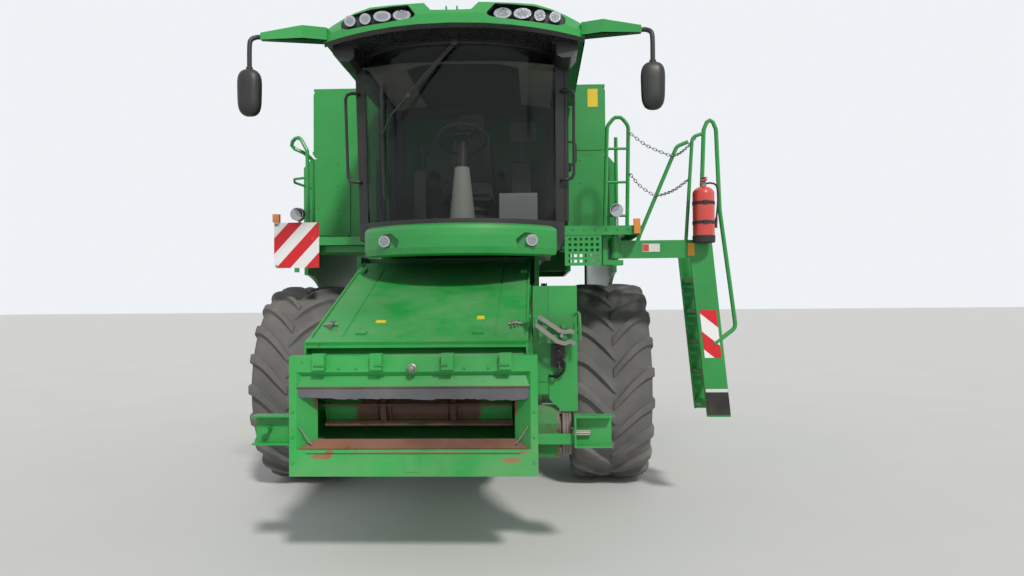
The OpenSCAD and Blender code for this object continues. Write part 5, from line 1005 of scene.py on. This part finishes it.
tabs = Stock()
for x, y, wide, long in ((-305, -2400, 70, 46), (392, -2340, 52, 60)):
    corners = []
    for dx, dy in ((-1, -1), (1, -1), (1, 1), (-1, 1)):
        place, normal = touch("feeder_house", at(x + dx * wide / 2, y + dy * long / 2, 4000), (0, 0, -1))
        corners.append(place + normal * 0.0006)
    tabs.plate(corners, 0.0012, 0.006)
tabs.make("feeder_labels", "label yellow", "feeder", 30)

catches = Stock()
HANDLE = ((-0.05, 0.01, 0.012), (0.0, 0.012, 0.022), (0.05, 0.01, 0.012))
for side in (-1, 1):
    foot = touch("feeder_house", at(side * 640, -2480, 4000), (0, 0, -1))[0]
    for k in (-1, 0, 1):
        a = foot + Vector((side * 0.022 * k, 0.03 * k, 0.012))
        catches.tube([a + Vector((0, -0.05, -0.015)), a + Vector((0, 0, 0.006)), a + Vector((0, 0.06, 0.024))], 0.006, 8)
    catches.tube([foot + Vector(p) for p in HANDLE], 0.009, 10)
catches.make("cover_catches", "worn steel", "feeder")
print("feeder face done")

# %% Coupler lever, latch and filler sheet
def strap(stock, line, wide, y, thick):
    # A flat bar standing upright across the machine, mitred at its bends
    points = [Vector(p) for p in line]
    rows = []
    for k, p in enumerate(points):
        run = (points[min(k + 1, len(points) - 1)] - points[max(k - 1, 0)]).normalized()
        off = Vector((-run.y, run.x)) * wide / 2
        a, b = p + off, p - off
        rows.append([at(a.x, y, a.y), at(b.x, y, b.y), at(b.x, y - thick, b.y), at(a.x, y - thick, a.y)])
    stock.grid(rows, caps=True)

lever = Stock()
strap(lever, [(800, 1652), (868, 1606), (932, 1562), (968, 1552), (1000, 1560), (1022, 1548)], 27, -2864, 5)
strap(lever, [(784, 1600), (852, 1546), (918, 1494), (960, 1482), (1000, 1494), (1026, 1478)], 27, -2892, 5)
lever.plate([at(782, -2862, 1596), at(782, -2898, 1596), at(802, -2898, 1656), at(802, -2862, 1656)], 0.006)
lever.turned([(0, 0.012), (0.036, 0.012)], at(944, -2862, 1530), (0, -1, 0), 20)
lever.make("coupler_lever", "worn steel", "feeder", 30)

latch = Stock().plate(quad(880, 968, (-2712.5, 1318), (-2712.5, 1468)), 0.030, 0.012)
latch.plate(quad(905, 948, (-2742, 1340), (-2742, 1440)), 0.022, 0.012)
for z in (1350, 1390, 1430):
    latch.turned([(0, 0.013), (0.022, 0.013), (0.026, 0.009)], at(926, -2763, z), (0, -1, 0), 20)
for hose in (((926, -2770, 1352), (930, -2790, 1310), (905, -2780, 1270), (880, -2740, 1262), (868, -2718, 1262)),
             ((938, -2770, 1392), (962, -2788, 1360), (958, -2770, 1300), (925, -2740, 1262), (905, -2718, 1254))):
    latch.tube(smooth_path([at(*p) for p in hose]), 0.009)
latch.make("coupler_latch", "fitting black", "feeder")
filler = Stock().plate(quad(762, 866, (-2704, 1222), (-2704, 1850)), 0.003)
filler.make("guard_filler", "machine green", "feeder", 30)
print("coupler done")

# %% Splined stub shaft in the left bracket
shaft = Stock()
for ends in ((1012, 0.026), (1030, 0.026)), ((1030, None), (1120, None)), ((1120, None), (1128, 0.013)):
    # A collar, the splined length and the chamfer at its end. No radius stands for the splines
    rows = []
    for x, plain in ends:
        radii = [plain or (0.0175 if k % 5 < 3 else 0.0150) for k in range(60)]
        rows.append([at(x, -2800, 905) + Vector((0, math.cos(a), math.sin(a))) * r for a, r in zip(turns(60), radii)])
    shaft.grid(rows, caps=True)
shaft.make("drive_stub_shaft", "worn steel", "feeder", 30)
print("stub shaft done")

# %% [markdown]
# ## Hoses along the feeder
# Hydraulic hoses and a harness leave the coupler on the feeder's left side and run back under
# the cab. They are clipped to the side plate, so they are modelled as fixed lines and not as
# free cords. Each line keeps to the feeder's side and bends smoothly at its ends.

# %% Fixed lines beside the feeder
lines = Stock()
for k, r in enumerate((0.012, 0.012, 0.009)):
    path = [(790 + 12 * k, -2640 - 6 * k, 1560 - 16 * k), (775, -2540, 1590 - 22 * k), (762, -2400, 1560 - 24 * k),
            (758, -2000, 1640 - 26 * k), (758, -1500, 1800 - 28 * k), (758, -1180, 1900 - 28 * k)]
    lines.tube(smooth_path([at(*p) for p in path], 8), r, 10)
lines.make("feeder_lines", "rubber", "feeder", 60)
print("feeder lines done")

# %% [markdown]
# ## Labels on the body
# The tank's front wall carries one yellow label near its upper corner. All labels are left
# blank. A few screws along the panels' edges finish the sheet metal.

# %% Body labels and panel screws
y = y_of(front_of("grain_tank", 1372, 3823, -3000)) - 0.5
Stock().plate(quad(1321, 1423, (y, 3731), (y, 3915)), 0.0012, 0.008).make("tank_label", "label yellow", smooth=30)

panel_screws = Stock()

def screw_on(solid, places, size):
    for x, z in places:
        try:
            bolt(panel_screws, front_of(solid, x, z, -3000), (0, -1, 0), size)
        except ValueError:
            # An opening has no sheet for a screw
            pass

heights = (2420, 2700, 2950, 3180)
screw_on("front_panels", [(side * x, z) for side in (-1, 1) for z in heights for x in (1000, 1240)], 0.014)
for dx, dz in ((-190, -190), (190, -190), (190, 190), (-190, 190)):
    bolt(panel_screws, at(-1438.5 + dx, -744.2, 2291.5 + dz), (0, -1, 0), 0.014)
screw_on("left_platform", [(x, 2335) for x in range(1000, 1640, 90)], 0.016)
panel_screws.make("panel_screws", "machine green", smooth=30)
print("body details done")

# %% [markdown]
# ## Radiator screen mesh
# The rotating screen in front of the radiator is covered with a fine steel mesh. It is a disc
# of crossed wires, thin enough to see through and dense enough to catch chaff.

# %% Wire mesh on the rotating screen
wires = Stock()
MESH_RADIUS, WIRE_GAP, WIRES_EACH_SIDE = 0.462, 0.022, 20
centre = at(-1240, 3300, 2800)
face_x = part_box("radiator_screen")[0].x + 0.012
for k in range(-WIRES_EACH_SIDE, WIRES_EACH_SIDE + 1):
    off = k * WIRE_GAP
    reach = math.sqrt(MESH_RADIUS ** 2 - off ** 2)
    across = [(0, share * reach, off) for share in (-1, 0, 1)]
    upright = [(0.002, off, share * reach) for share in (-1, 0, 1)]
    for ends in (across, upright):
        wires.tube([Vector((face_x + x, centre.y + y, centre.z + z)) for x, y, z in ends], 0.0012, 4)
wires.make("screen_mesh", "worn steel", "radiator_screen", 60, "black_plastic")
print("mesh wires done")
